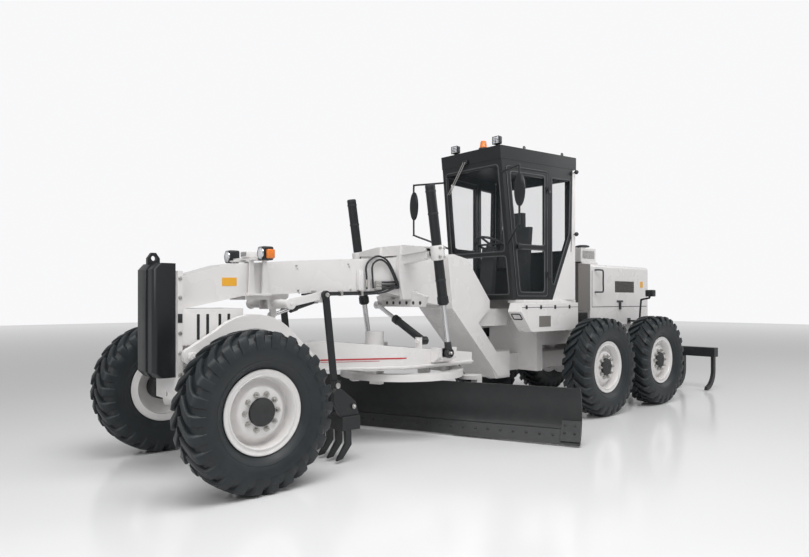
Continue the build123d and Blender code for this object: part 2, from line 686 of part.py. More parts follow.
def door_windows():
    """The door's lower and upper panes."""
    low, mid, high = cab_floor_z + 100, cab_floor_z + 700, cab_roof_z[0] - 150
    return [
        [(front_edge(low) + 130, low), (door_edge - 70, low), (door_edge - 70, mid - 30), (front_edge(mid) + 130, mid - 30)],
        [(front_edge(mid) + 130, mid + 30), (door_edge - 70, mid + 30), (door_edge - 70, high),
         (front_edge(high) + 130, high)]]


def quarter_window():
    """The tall window behind the door."""
    return [(door_edge + 70, 1830), (door_edge + 110, 1800), (1050, 2520), (1075, 3270), (door_edge + 70, 3270)]


def panel_outline():
    """The white rear quarter with its slanted front edge."""
    end = cab_side_length()
    return [(door_edge + 85, cab_floor_z), (end, cab_floor_z), (end, cab_roof_z[0]), (end - 55, cab_roof_z[0]), (end - 75, 2480)]


def front_plane():
    """The leaning plane of the windscreen: x to the left, y up the slope."""
    rise = cab_roof_z[0] - cab_floor_z
    length = math.hypot(rise, cab_lean)
    return Plane(origin=(cab_front_x, 0, cab_floor_z), x_dir=(0, 1, 0), z_dir=(rise / length, 0, -cab_lean / length))


def screen_panes():
    """The windscreen's upper pane and two lower panes."""
    top = math.hypot(cab_roof_z[0] - cab_floor_z, cab_lean)
    w = cab_front_half - 60
    return [
        [(-w + 20, 640), (w - 20, 640), (w - 30, top - 70), (-w + 30, top - 70)],
        [(-w, 70), (w, 70), (w - 10, 580), (-w + 10, 580)]]


def cab_shell():
    """Floor, roof, corner posts and window frames of the cab."""
    top = math.hypot(cab_roof_z[0] - cab_floor_z, cab_lean)
    slope = (cab_rear_half - cab_front_half) / (cab_front_x - cab_rear_x)
    top_half = cab_front_half - slope * cab_lean
    end = cab_side_length()
    side = wall([(0, cab_floor_z), (end, cab_floor_z), (end, cab_roof_z[0]), (front_edge(cab_roof_z[0]), cab_roof_z[0])])
    side -= wall(panel_outline(), (-1, cab_wall + 1))
    side -= wall(door_outline(), (-1, cab_wall + 1))
    side -= wall(quarter_window(), (-1, cab_wall + 1))
    front = extrude(front_plane().offset(-cab_wall) * make_face(Polyline(
        (-cab_front_half, 0), (cab_front_half, 0), (top_half, top), (-top_half, top), close=True)), amount=cab_wall)
    for pane in screen_panes():
        front -= extrude(front_plane().offset(-cab_wall - 1) * make_face(Polyline(*pane, close=True)), amount=cab_wall + 2)
    plan = [(cab_front_x, cab_front_half), (cab_rear_x, cab_rear_half), (cab_rear_x, -cab_rear_half),
            (cab_front_x, -cab_front_half)]
    floor = plate_z(plan, (cab_floor_z, cab_floor_z + 40))
    roof_front = cab_front_x + cab_lean + 40
    roof_plan = [(roof_front, top_half + 20), (cab_rear_x - 15, cab_rear_half + 15), (cab_rear_x - 15, -cab_rear_half - 15),
                 (roof_front, -top_half - 20)]
    roof = plate_z(roof_plan, cab_roof_z)
    half = cab_rear_half - cab_wall * 1.2
    rear = block((cab_rear_x, cab_rear_x + cab_wall), (-half, half), (cab_floor_z + 39, cab_roof_z[0] + 1))
    rear -= block((cab_rear_x - 1, cab_rear_x + cab_wall + 1), (-half + 90, half - 90), (2300, 3280))
    cage = both(side) + front + floor + roof + rear
    cage -= both(wall(panel_outline()))
    for z in (cab_floor_z + 300, cab_roof_z[0] - 350):
        cage += both(door_hinge(z, False))
    return cage


def door_hinge(z, on_door):
    """One door hinge: a knuckle and pin on the post, or the sleeve that turns on it."""
    plane = cab_side_plane()
    h = plane.from_local_coords((door_edge - door_gap / 2, 0, hinge_out))
    if on_door:
        part = rod((h.X, h.Y, z + 40 + face_gap), (h.X, h.Y, z + 80), 13) + wall(
            [(door_edge - 60, z + 40 + face_gap), (door_edge - door_gap / 2, z + 40 + face_gap),
             (door_edge - door_gap / 2, z + 80), (door_edge - 60, z + 80)], (-hinge_out, -hinge_out + 8))
        return part - rod((h.X, h.Y, z + 39), (h.X, h.Y, z + 81), 6 + shaft_gap)
    leaf = wall([(door_edge - door_gap / 2, z), (door_edge + 50, z), (door_edge + 50, z + 40),
                 (door_edge - door_gap / 2, z + 40)], (-hinge_out, 0))
    return leaf + rod((h.X, h.Y, z), (h.X, h.Y, z + 40), 13) + rod((h.X, h.Y, z), (h.X, h.Y, z + 80), 6)


def cab_door():
    """The left door's frame with its two windows and hinge sleeves."""
    low, high = cab_floor_z + 35 + door_gap, cab_roof_z[0] - 70 - door_gap
    door = wall([(front_edge(low) + 60 + door_gap, low), (door_edge - door_gap, low), (door_edge - door_gap, high),
                 (front_edge(high) + 60 + door_gap, high)], (0, cab_wall - 5))
    for pane in door_windows():
        door -= wall(pane, (-1, cab_wall + 1))
    for z in (cab_floor_z + 300, cab_roof_z[0] - 350):
        door += door_hinge(z, True)
        door += wall([(door_edge - 60, z + 40 + face_gap), (door_edge - 35, z + 40 + face_gap), (door_edge - 35, z + 80),
                      (door_edge - 60, z + 80)], (-hinge_out, 1))
    mid = cab_floor_z + 700
    handle = wall([(40, mid - 12), (160, mid - 12), (160, mid + 12), (40, mid + 12)], (-45, -25))
    handle += wall([(130, mid - 12), (160, mid - 12), (160, mid + 12), (130, mid + 12)], (-45, 1))
    return door + handle


def door_glass():
    """The left door's two panes."""
    depth = (cab_wall / 2 - glass_wall / 2, cab_wall / 2 + glass_wall / 2)
    return [wall(pane, depth) for pane in door_windows()]


def cab_glass():
    """Windscreen panes, quarter windows and rear window."""
    depth = (cab_wall / 2 - glass_wall / 2, cab_wall / 2 + glass_wall / 2)
    panes = [wall(quarter_window(), depth)]
    panes.append(mirrored(panes[0]))
    for pane in screen_panes():
        plane = front_plane().offset(-depth[1])
        panes.append(extrude(plane * make_face(Polyline(*pane, close=True)), amount=glass_wall))
    half = cab_rear_half - cab_wall * 1.2
    x = (cab_rear_x + depth[0], cab_rear_x + depth[1])
    panes.append(block(x, (-half + 90, half - 90), (2300, 3280)))
    return panes


def cab_rear_panels():
    """The two white quarter panels behind the doors."""
    panel = wall(panel_outline())
    return panel, mirrored(panel)


def cab_interior():
    """The seat on its base, and the steering column with its wheel and levers."""
    floor = cab_floor_z + 40
    seat = plate_y([(-4780, floor), (-4500, floor), (-4480, 2020), (-4250, 2040), (-4250, 2130), (-4680, 2110),
                    (-4760, 2640), (-4840, 2640), (-4780, 2040)], (-250, 250))
    seat += plate_y([(-4775, 2600), (-4745, 2850), (-4830, 2850), (-4835, 2600)], (-130, 130))
    column = plate_y([(-4160, floor), (-4080, floor), (-4160, 2330), (-4230, 2330)], (-110, 110))
    wheel = Pos(-4200, 0, 2370) * Rot(0, -25, 0) * (Torus(210, 17) + Pos(0, 0, -20) * Cylinder(45, 60) + Box(
        400, 30, 16) + Box(30, 400, 16))
    return seat, column + wheel


def mirrors():
    """The two mirrors on their bent tube arms at the front corners."""
    x = cab_front_x + 410
    root_z = (2330, 3250)
    out = 950
    face = plate_x([(out - 75, 2730), (out + 75, 2730), (out + 75, 3130), (out - 75, 3130)], (x - 45, x - 15))
    tube_x = x - 30
    path = [(cab_front_x + front_corner(root_z[1]), cab_front_half - 40, root_z[1]), (tube_x, out, root_z[1]),
            (tube_x, out, root_z[0] + 200), (cab_front_x + front_corner(root_z[0]), cab_front_half - 20, root_z[0])]
    arm = None
    for a, b in zip(path, path[1:]):
        piece = rod(a, b, 13) + Pos(*b) * Sphere(13)
        arm = piece if arm is None else arm + piece
    return face + arm


def front_corner(z):
    """How far the cab's front leans forward at a height."""
    return cab_lean * (z - cab_floor_z) / (cab_roof_z[0] - cab_floor_z) + 2


def work_lamps():
    """The roof's two work lamps, the beacon and the tail lamps on their brackets."""
    top = cab_roof_z[1]
    x = cab_front_x + cab_lean - 10
    lamps = [block((x - 60, x + 20), (y - 60, y + 60), (top, top + 100)) for y in (-380, 450)]
    lamps.append(rod((x - 20, 160, top), (x - 20, 160, top + 110), 50))
    lamps.append(rod((-6980, hood_half_width + 30, 1680), (-6980, hood_half_width + 400, 1680), 12) + block(
        (-7040, -6920), (hood_half_width + 280, hood_half_width + 420), (1640, 1740)) + block(
        (-7010, -6950), (hood_half_width, hood_half_width + 40), (1640, 1720)))
    lamps.append(mirrored(lamps[-1]))
    return lamps


def hood():
    """The hollow engine hood with rounded rear corners, and its grille cut-outs."""
    outer = block(hood_x, (-hood_half_width, hood_half_width), hood_z)
    outer = fillet(outer.edges().filter_by(Axis.Z).group_by(Axis.X)[0], 110)
    outer = fillet(outer.edges().group_by(Axis.Z)[-1], 45)
    w = hood_wall
    inner = block((hood_x[0] + w, hood_x[1] - w), (-hood_half_width + w, hood_half_width - w), (hood_z[0] - 1, hood_z[1] - w))
    body = outer - inner
    for x, z in grille_windows():
        body -= block(x, (-hood_half_width - 1, hood_half_width + 1), z)
    body -= block((hood_x[0] - 1, hood_x[0] + w + 1), (-400, 400), (1330, 2000))
    return body


def grille_windows():
    """The side grilles' (x, z) extents."""
    return [((-7300, -6800), (1800, 1950))]


def hood_grilles():
    """Louvred grilles in the hood's sides and rear."""
    parts = []
    w = hood_wall
    for x, z in grille_windows():
        inner = block(x, (hood_half_width - w + 8, hood_half_width - 8), z)
        parts += [inner, mirrored(inner)]
    parts.append(block((hood_x[0] + 8, hood_x[0] + w - 8), (-400, 400), (1330, 2000)))
    return parts


def engine_block():
    """The engine as one plain block on the rails."""
    return block((-7300, -6150), (-rail_y[1] + 10, rail_y[1] - 10), (chassis_z[1], 1900))


def air_intake():
    """The louvred intake box with its cap, and the narrow radiator column behind the cab."""
    column = block((hood_x[1], hood_x[1] + 170), (-500, 500), (1205, 2120))
    box = block((-6000, -5450), (420, 640), (2150, 2370)) + block((-5850, -5680), (440, 500), (2110, 2160))
    cap = rod((-5720, 530, 2370), (-5720, 530, 2400), 60) + rod((-5720, 530, 2400), (-5720, 530, 2430), 130)
    return column + box + cap


def side_tanks():
    """The platforms with their tanks beside the cab's base."""
    y = (rail_y[1], 740)
    tank = plate_y([(-5240, 1160), (-5240, cab_floor_z - 40), (-4120, cab_floor_z - 40), (-4230, 1300), (-4300, 1160)], y)
    step = block((-5240, -4050), (rail_y[1], 700), (cab_floor_z - 40, cab_floor_z))
    return tank + step, mirrored(tank + step)


def step_towers():
    """The steps behind the cab."""
    tower = block((-5680, -5240), (rail_y[1], 700), (1160, 1220))
    tower += block((-5300, -5250), (rail_y[1], 700), (1160, 1560))
    tower += block((-5680, -5630), (rail_y[1], 700), (1160, 1560))
    tower += block((-5680, -5250), (rail_y[1], 700), (1530, 1560))
    return tower, mirrored(tower)


def rear_chassis():
    """The two rails with their cross members, hinge tongues, cab mounts and ripper mount."""
    low, high = lower_hinge
    rail = block((chassis_rear_x, hinge_x - 250), rail_y, chassis_z)
    body = both(rail)
    for x in (-4900, -5500, -6700, -7400, -7700):
        body += block((x - 40, x + 40), (-rail_y[0] - 1, rail_y[0] + 1), (chassis_z[0] + 20, chassis_z[1] - 20))
    tongue_x = hinge_x - 240
    for z0, z1 in ((low + hinge_ear + face_gap, high - hinge_ear - face_gap),
                   (upper_hinge[0] + hinge_ear + face_gap, upper_hinge[1] - hinge_ear - face_gap)):
        tongue = rod((hinge_x, 0, z0), (hinge_x, 0, z1), hinge_ear_radius)
        tongue += block((tongue_x, hinge_x), (-hinge_ear_radius + 2, hinge_ear_radius - 2), (z0, z1))
        tongue -= rod((hinge_x, 0, z0 - 1), (hinge_x, 0, z1 + 1), hinge_pin_radius + shaft_gap)
        body += tongue
    z0 = low + hinge_ear + face_gap
    body += block((tongue_x - tongue_depth, tongue_x + 1), (-rail_y[1], rail_y[1]),
                  (z0, upper_hinge[1] - hinge_ear - face_gap))
    body += block((-wheelbase + axle_clear, tongue_x), (-200, 200), (z0, high - hinge_ear - face_gap))
    post = block((tongue_x - tongue_depth, tongue_x), (-rail_y[1], rail_y[1]), (1300, cab_floor_z))
    body += post
    for x in (-5130, -5750):
        body += both(block((x - 60, x + 60), rail_y, (chassis_z[1] - 1, 1205 if x < -5500 else cab_floor_z)))
    seat = block((-wheelbase - 160, -wheelbase + 160), rail_y, (tandem_z + 60, chassis_z[0] + 1))
    body += both(seat - rod_y(-wheelbase, tandem_z, (rail_y[0] - 1, rail_y[1] + 1), axle_tube_radius))
    x, z = ripper_pivot
    plate = block((chassis_rear_x - 40, chassis_rear_x + 1), (-rail_y[1], rail_y[1]), (z - 120, ripper_top[1] + 80))
    ear = plate_y([(chassis_rear_x - 39, z - 90), (chassis_rear_x - 39, z + 90), (x, z + 60), (x - 60, z), (x, z - 60)],
                  ripper_ear_y)
    top = plate_y([(chassis_rear_x - 39, ripper_top[1] - 90), (chassis_rear_x - 39, ripper_top[1] + 80),
                   (x, ripper_top[1] + 50), (x - 50, ripper_top[1]), (x, ripper_top[1] - 50)], ripper_top_ear_y)
    ear -= rod_y(x, z, (ripper_ear_y[0] - 1, ripper_ear_y[1] + 1), eye_pin_radius + shaft_gap)
    top += rod_y(*ripper_top, (ripper_cylinder_y - 28, ripper_top_ear_y[1]), eye_pin_radius - 5)
    return body + plate + both(ear) + both(top)


def tandem_axle():
    """The rear axle housing and the two chain cases with the wheel spindles."""
    tube = axle_tube_radius
    case_inner_y = case_outer_y - case_width
    end = case_inner_y + 1
    axle = spun([(0, -end), (tube, -end), (tube, -260), (235, -160), (235, 160), (tube, 260), (tube, end), (0, end)])
    axle = Pos(-wheelbase, 0, tandem_z) * axle
    outline = [(-wheelbase - tandem_half - 170, tandem_z), (-wheelbase - tandem_half - 110, tandem_z - 150),
               (-wheelbase, tandem_z - 230), (-wheelbase + tandem_half + 110, tandem_z - 150),
               (-wheelbase + tandem_half + 170, tandem_z), (-wheelbase + tandem_half + 110, tandem_z + 150),
               (-wheelbase, tandem_z + 230), (-wheelbase - tandem_half - 110, tandem_z + 150)]
    case = plate_y(outline, (case_inner_y, case_outer_y))
    for x in (-wheelbase - tandem_half, -wheelbase + tandem_half):
        case += rod_y(x, tyre_radius, (case_outer_y - 1, track_half - 90 - move_gap), 72)
        case += rod_y(x, tyre_radius, (case_outer_y, track_half + 60), spindle_radius)
    return axle + both(case)


def ripper():
    """The rear ripper: two arms, the tooth beam and its curved shanks."""
    arm_y0 = ripper_ear_y[1] + face_gap
    x0, x1 = ripper_beam_x
    z0, z1 = ripper_beam_z
    x, z = ripper_pivot
    arm = plate_y([(x + 45, z - 45), (x + 45, z + 45), (x1 + 60, z1 + 20), (x1 - 20, z1), (x1 - 20, z0), (x1 + 90, z0)],
                  (arm_y0, arm_y0 + 55))
    arm += rod_y(x, z, (ripper_ear_y[0] - 10, arm_y0 + 55), eye_pin_radius)
    beam = block(ripper_beam_x, (-ripper_half_width, ripper_half_width), ripper_beam_z)
    ex, ez = ripper_eye
    lug = plate_y([(x1 - 1, z0 + 40), (x1 - 1, z1 + 20), (ex - 30, ez + 45), (ex + 45, ez + 20), (ex + 45, ez - 30)],
                  (ripper_cylinder_y + 26 + face_gap, ripper_cylinder_y + 52))
    body = beam + both(arm) + both(lug) + block((x1 - 1, x1 + 70), (-arm_y0 - 50, arm_y0 + 50), (z0 + 20, z0 + 90))
    with BuildSketch(Plane.XZ) as sketch:
        with BuildLine():
            front = ThreePointArc((x1 - 50, 330), (x1 + 20, 180), (x1 + 200, 80))
            Line(front @ 1, (x1 + 225, 22))
            back = ThreePointArc((x1 + 225, 22), (x1 - 50, 130), (x1 - 135, 330))
            Polyline(back @ 1, (x1 - 135, z0 + 10), (x1 - 50, z0 + 10), front @ 0)
        make_face()
    for y in (-2, -1, 0, 1, 2):
        body += Pos(0, y * ripper_pitch + 25, 0) * extrude(sketch.sketch, amount=50)
    return body


def ripper_cylinders():
    """The pair of cylinders that lift the ripper."""
    length = math.dist(ripper_top, ripper_eye)
    barrel, bar = cylinder(ripper_top, ripper_eye, ripper_cylinder_y, 0, length * 0.6, 45, 26, 250)
    y = ripper_cylinder_y
    barrel += rod_y(*ripper_top, (y - 26, y + 26), 48)
    barrel -= rod_y(*ripper_top, (y - 46, y + 46), eye_pin_radius - 5 + shaft_gap)
    bar += rod_y(*ripper_eye, (y - 26, y + 26), 46)
    return barrel, bar


os.makedirs("parts", exist_ok=True)
wheels()
save("front_axle", front_axle())
left_knuckle = knuckle()
save("knuckle_left", left_knuckle)
save("knuckle_right", mirrored(left_knuckle))
save("tie_rod", tie_rod())
save("front_frame", front_frame() + lever_hangers())
save("push_block", push_block())
save("lamp_post", lamp_post())
save("saddle", saddle())
lift_barrel, lift_rod = lift_cylinders()
save("lift_barrels", lift_barrel, mirrored(lift_barrel))
save("lift_rods", lift_rod, mirrored(lift_rod))
save("drawbar", drawbar())
save("circle", circle())
save("blade_carrier", blade_carrier())
save("moldboard", moldboard())
for name, shape in zip(("tilt_barrel", "tilt_rod"), tilt_cylinder()):
    save(name, shape)
for name, shape in zip(("shift_barrel", "shift_rod"), shift_cylinder()):
    save(name, shape)
save("scarifier_arms", scarifier_arms())
save("scarifier_rack", scarifier_rack())
save("scarifier_lever", scarifier_lever())
save("scarifier_links", *scarifier_links())
for name, shape in zip(("scarifier_barrel", "scarifier_rod"), scarifier_cylinder()):
    save(name, shape)
save("rear_chassis", rear_chassis())
save("tandem_axle", tandem_axle())
cage = cab_shell()
save("cab_shell", cage)
save("cab_rear_panels", *cab_rear_panels())
save("cab_glass", *cab_glass())
save("cab_interior", *cab_interior())
left_mirror = max((mirrors() - cage).solids(), key=lambda piece: piece.volume)
save("mirrors", left_mirror, mirrored(left_mirror))
save("work_lamps", *work_lamps())
left_door, left_panes = cab_door(), door_glass()
save("cab_door_left", left_door)
save("cab_door_right", mirrored(left_door))
save("door_glass_left", *left_panes)
save("door_glass_right", *[mirrored(pane) for pane in left_panes])
save("hood", hood())
save("hood_grilles", *hood_grilles())
save("engine_block", engine_block())
save("air_intake", air_intake())
save("side_tanks", *side_tanks())
save("step_towers", *step_towers())
save("ripper", ripper())
ripper_barrel, ripper_rod = ripper_cylinders()
save("ripper_barrels", ripper_barrel, mirrored(ripper_barrel))
save("ripper_rods", ripper_rod, mirrored(ripper_rod))
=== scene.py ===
# %% [markdown]
# # A motor grader in a pale studio
#
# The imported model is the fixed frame. Everything below adds finishes and fine
# pieces to it, in metres: +X forward, +Y to the grader's left, +Z up, ground at 0.

import json
import math

import bmesh
import bpy
import numpy as np
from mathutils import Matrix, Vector

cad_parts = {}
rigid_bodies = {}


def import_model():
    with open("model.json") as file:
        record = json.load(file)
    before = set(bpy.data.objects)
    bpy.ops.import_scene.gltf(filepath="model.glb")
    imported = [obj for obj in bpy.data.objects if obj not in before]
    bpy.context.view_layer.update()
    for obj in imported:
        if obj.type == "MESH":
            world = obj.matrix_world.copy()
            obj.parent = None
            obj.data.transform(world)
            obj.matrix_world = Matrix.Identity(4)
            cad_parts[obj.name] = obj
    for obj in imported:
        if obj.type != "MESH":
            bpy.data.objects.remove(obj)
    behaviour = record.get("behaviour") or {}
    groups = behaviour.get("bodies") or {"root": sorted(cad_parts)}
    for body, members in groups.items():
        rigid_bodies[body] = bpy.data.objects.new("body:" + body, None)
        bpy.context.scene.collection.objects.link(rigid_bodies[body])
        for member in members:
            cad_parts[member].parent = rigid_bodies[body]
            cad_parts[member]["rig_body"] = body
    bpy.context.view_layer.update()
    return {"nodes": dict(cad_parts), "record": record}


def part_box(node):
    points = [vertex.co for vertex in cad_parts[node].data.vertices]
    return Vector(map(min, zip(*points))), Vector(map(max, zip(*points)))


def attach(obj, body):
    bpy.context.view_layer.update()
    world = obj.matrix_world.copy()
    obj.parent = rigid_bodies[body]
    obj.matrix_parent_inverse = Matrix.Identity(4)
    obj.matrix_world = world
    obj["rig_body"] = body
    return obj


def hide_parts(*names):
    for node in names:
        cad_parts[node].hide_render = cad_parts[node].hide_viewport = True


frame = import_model()
NODES = frame["nodes"]

# %% [markdown]
# The front axle line fixes nearly every other place on the machine, so it is read
# from the frame first. Places below are measured forward from it.

# %% Places that many pieces share
TYRE_RADIUS = 0.675
TYRE_WIDTH = 0.40


def middle(node):
    """The centre of a node's box."""
    low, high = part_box(node)
    return (np.array(low) + np.array(high)) / 2


AXLE_X = middle("tyre_front_left")[0]
print("front axle line at x =", round(AXLE_X, 4))


def at(x, y, z):
    """A place measured from the front axle line, moved into the frame."""
    return np.array([x + AXLE_X, y, z], float)


# %% [markdown]
# ## The camera and the studio
#
# The photograph looks at the front left corner from about eye height with a
# short lens. A level camera with a little vertical shift keeps the uprights upright.

# %% Camera
PIXELS_WIDE = 809
FOCAL_PIXELS = 640.0
HORIZON_BELOW_MIDDLE = 21.1
HEADING = math.radians(48)

camera_data = bpy.data.cameras.new("camera")
camera_data.lens = camera_data.sensor_width * FOCAL_PIXELS / PIXELS_WIDE
camera_data.shift_y = HORIZON_BELOW_MIDDLE / PIXELS_WIDE
camera = bpy.data.objects.new("camera", camera_data)
bpy.context.scene.collection.objects.link(camera)
camera.location = at(2.655, 5.83, 1.602)
camera.rotation_euler = (math.pi / 2, 0, math.pi / 2 + HEADING)
bpy.context.scene.camera = camera
bpy.context.scene.view_settings.view_transform = "Standard"
print("lens", round(camera_data.lens, 2), "mm")

# %% [markdown]
# ## Finishes
#
# A finish is a few lines of maths on the place of each point. Wrapping a node
# socket in a small class lets that maths be written as plain Python.


# %% Shader maths as Python
class Maths:
    """A socket with operators; each one adds the Math node that it names."""

    def __init__(self, tree, socket):
        self.tree = tree
        self.socket = socket

    def node(self, kind, settings=None, **sockets):
        """Add a node, set what it is first, then its sockets' values or links."""
        made = self.tree.nodes.new(kind)
        for key, value in (settings or {}).items():
            setattr(made, key, value)
        for key, value in sockets.items():
            numbered = key[0] == "i" and key[1:].isdigit()
            slot = made.inputs[int(key[1:]) if numbered else key.replace("_", " ")]
            if isinstance(value, Maths):
                self.tree.links.new(value.socket, slot)
            else:
                slot.default_value = value
        return made

    def join(self, operation, first, second):
        """The result of one Math node."""
        made = self.node("ShaderNodeMath", {"operation": operation}, i0=first, i1=second)
        return Maths(self.tree, made.outputs[0])

    def __add__(self, other):
        return self.join("ADD", self, other)

    __radd__ = __add__

    def __mul__(self, other):
        return self.join("MULTIPLY", self, other)

    __rmul__ = __mul__

    def __sub__(self, other):
        return self.join("SUBTRACT", self, other)

    def __rsub__(self, other):
        return self.join("SUBTRACT", other, self)

    def power(self, other):
        return self.join("POWER", self, other)

    def larger(self, other):
        return self.join("MAXIMUM", self, other)

    def sine(self):
        return self.join("SINE", self, 0.0)

    def ramp(self, *stops):
        """A colour ramp given as (position, grey) pairs."""
        made = self.node("ShaderNodeValToRGB", None, i0=self)
        ramp = made.color_ramp
        while len(ramp.elements) < len(stops):
            ramp.elements.new(0.5)
        for element, (place, grey) in zip(ramp.elements, stops):
            element.position = place
            element.color = (grey, grey, grey, 1)
        return Maths(self.tree, made.outputs["Color"])

    def mix(self, low, high):
        """The colour low where this is 0 and high where it is 1."""
        made = self.node("ShaderNodeMix", {"data_type": "RGBA"}, i0=self, i6=low, i7=high)
        return Maths(self.tree, made.outputs[2])


class Finish:
    """A material with a principled shader and the maths to feed it."""

    def __init__(self, name, colour, roughness, metallic=0.0, **fixed):
        self.material = bpy.data.materials.new(name)
        self.material.use_nodes = True
        self.tree = self.material.node_tree
        self.shader = next(n for n in self.tree.nodes if n.type == "BSDF_PRINCIPLED")
        self.shader.inputs["Base Color"].default_value = (*colour, 1)
        self.shader.inputs["Roughness"].default_value = roughness
        self.shader.inputs["Metallic"].default_value = metallic
        for key, value in fixed.items():
            self.shader.inputs[key.replace("_", " ")].default_value = value
        self.maker = Maths(self.tree, None)

    def coordinates(self):
        """Object coordinates, which are frame coordinates because every piece sits at the origin."""
        made = self.maker.node("ShaderNodeTexCoord")
        return Maths(self.tree, made.outputs["Object"])

    def axis(self, letter):
        made = self.maker.node("ShaderNodeSeparateXYZ", None, i0=self.coordinates())
        return Maths(self.tree, made.outputs[letter])

    def noise(self, scale, detail, roughness=0.5):
        made = self.maker.node("ShaderNodeTexNoise", None, Vector=self.coordinates(), Scale=scale, Detail=detail,
                               Roughness=roughness)
        return Maths(self.tree, made.outputs["Fac"])

    def feed(self, name, value):
        self.tree.links.new(value.socket, self.shader.inputs[name])

    def bump(self, height, distance, strength):
        made = self.maker.node("ShaderNodeBump", None, Height=height, Distance=distance, Strength=strength)
        self.tree.links.new(made.outputs["Normal"], self.shader.inputs["Normal"])


# %% [markdown]
# Sprayed machine paint is smooth but not perfect: the gloss varies in broad soft
# patches, the film has a faint orange peel, and road dust gathers low down.

# %% Paints
PATCH_SCALE = 2.3
DUST_SCALE = 9.0
PEEL_SCALE = 260.0


def paint(name, colour, dusty, roughness, peel, dust_reach=1.2, coat=0.0):
    """Colour drifts with broad noise, dust thickens towards the ground, and fine noise lifts the film."""
    made = Finish(name, colour, roughness, Coat_Weight=coat, Coat_Roughness=0.08)
    broad = made.noise(PATCH_SCALE, 4.0).ramp((0.3, 0.0), (0.75, 1.0))
    low = (1.0 - made.axis("Z") * (1 / dust_reach)).ramp((0.0, 0.0), (1.0, 1.0))
    dust = made.noise(DUST_SCALE, 5.0, 0.65).ramp((0.35, 0.1), (0.7, 1.0))
    amount = low * dust * 0.55 + broad * 0.12
    made.feed("Base Color", amount.mix((*colour, 1), (*dusty, 1)))
    made.feed("Roughness", broad * 0.08 + low * 0.15 + roughness)
    made.bump(made.noise(PEEL_SCALE, 2.0), peel, 0.25)
    return made.material


WHITE = paint("gloss_white", (0.80, 0.785, 0.775), (0.60, 0.575, 0.55), 0.24, 0.0006, coat=0.4)
BLACK = paint("satin_black", (0.0075, 0.0095, 0.011), (0.03, 0.03, 0.029), 0.34, 0.0006, 0.9, coat=0.1)
GREY = paint("warm_grey", (0.17, 0.16, 0.15), (0.24, 0.225, 0.215), 0.45, 0.0008)
# Dark iron also serves as painted shade: the dark patches that fill slots on the frame and the lamp case.
DARK = paint("dark_iron_and_slot_shade", (0.02, 0.022, 0.024), (0.06, 0.056, 0.052), 0.48, 0.001)

# %% [markdown]
# Tyre rubber scatters light in a soft dark blue-grey. A fine grain and a trace of
# pale dust in the hollows keep it from looking like plastic.

# %% Rubber, metal, glass and lenses
RIBS_UP = 600.0


def rubber(name, colour, roughness, grain):
    """Two noises: the fine one lifts the surface, the broad one greys it."""
    made = Finish(name, colour, roughness)
    broad = made.noise(6.0, 6.0, 0.6).ramp((0.35, 0.0), (0.8, 1.0))
    dusty = tuple(c * 1.5 + 0.006 for c in colour)
    made.feed("Base Color", broad.mix((*colour, 1), (*dusty, 1)))
    made.feed("Roughness", broad * 0.15 + roughness)
    made.bump(made.noise(180.0, 4.0, 0.6), grain, 0.5)
    return made.material


def metal(name, colour, roughness):
    """Bare metal whose gloss drifts in fine streaks."""
    made = Finish(name, colour, roughness, 1.0)
    made.feed("Roughness", made.noise(60.0, 3.0) * 0.12 + (roughness - 0.04))
    made.bump(made.noise(300.0, 2.0), 0.0004, 0.2)
    return made.material


def lens(name, colour):
    """Moulded plastic with fine ribs: their height is the sine of RIBS_UP times the height in metres."""
    made = Finish(name, colour, 0.12, Coat_Weight=0.6)
    made.bump((made.axis("Z") * RIBS_UP).sine(), 0.0008, 0.4)
    return made.material


TYRE = rubber("tyre_rubber", (0.009, 0.013, 0.0155), 0.46, 0.0012)
# This rubber also serves as painted shade: the dark insets that fill holes and slots.
HOSE_AND_HOLE_SHADE = rubber("hose_rubber_and_hole_shade", (0.012, 0.013, 0.015), 0.38, 0.0005)
TRIM = rubber("cab_trim", (0.03, 0.032, 0.035), 0.6, 0.0008)
CHROME = metal("bright_rod", (0.72, 0.72, 0.73), 0.16)
STEEL = metal("plated_bolts", (0.55, 0.54, 0.52), 0.34)
ORANGE = lens("orange_lens", (0.85, 0.22, 0.02))
CLEAR = lens("clear_lens", (0.75, 0.77, 0.8))
glazing = Finish("tinted_glass", (0.08, 0.10, 0.11), 0.03, Alpha=0.07)
glazing.bump(glazing.noise(1.2, 1.0), 0.002, 0.1)
GLASS = glazing.material
RED = paint("red_stripe", (0.52, 0.03, 0.04), (0.45, 0.1, 0.1), 0.25, 0.0003)
AMBER = paint("amber_reflector", (0.85, 0.42, 0.03), (0.8, 0.45, 0.1), 0.3, 0.0003)
print("finishes", len(bpy.data.materials))

# %% [markdown]
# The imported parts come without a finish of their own. Each names a slot, such as
# white_paint, so one table from slot to finish dresses all of them, and the softened
# copies made later take theirs from the same table.

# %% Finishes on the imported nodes
BY_SLOT = {
    "white_paint": WHITE, "grey_paint": GREY, "black_paint": BLACK, "tyre_rubber": TYRE, "glass": GLASS,
    "bright_rod": CHROME, "engine_iron": DARK, "cab_trim": TRIM}
SLOT_OF = {row["node"]: row["material_slot"] for row in frame["record"]["subparts"]}


def dress(obj, material):
    """Make this the only finish of an object."""
    obj.data.materials.clear()
    obj.data.materials.append(material)


for node, obj in NODES.items():
    dress(obj, BY_SLOT[SLOT_OF[node]])
print("packed parts dressed", len(NODES))

# %% [markdown]
# ## Making pieces
#
# A piece is a grid of points worked out by a formula. Several grids are merged
# into one mesh, so that a wheel's ten nuts or a lamp's shell and rim are one object.

# %% Grids and meshes
SAME_PLACE = 1e-5
SMOOTH_ANGLE = math.radians(35)


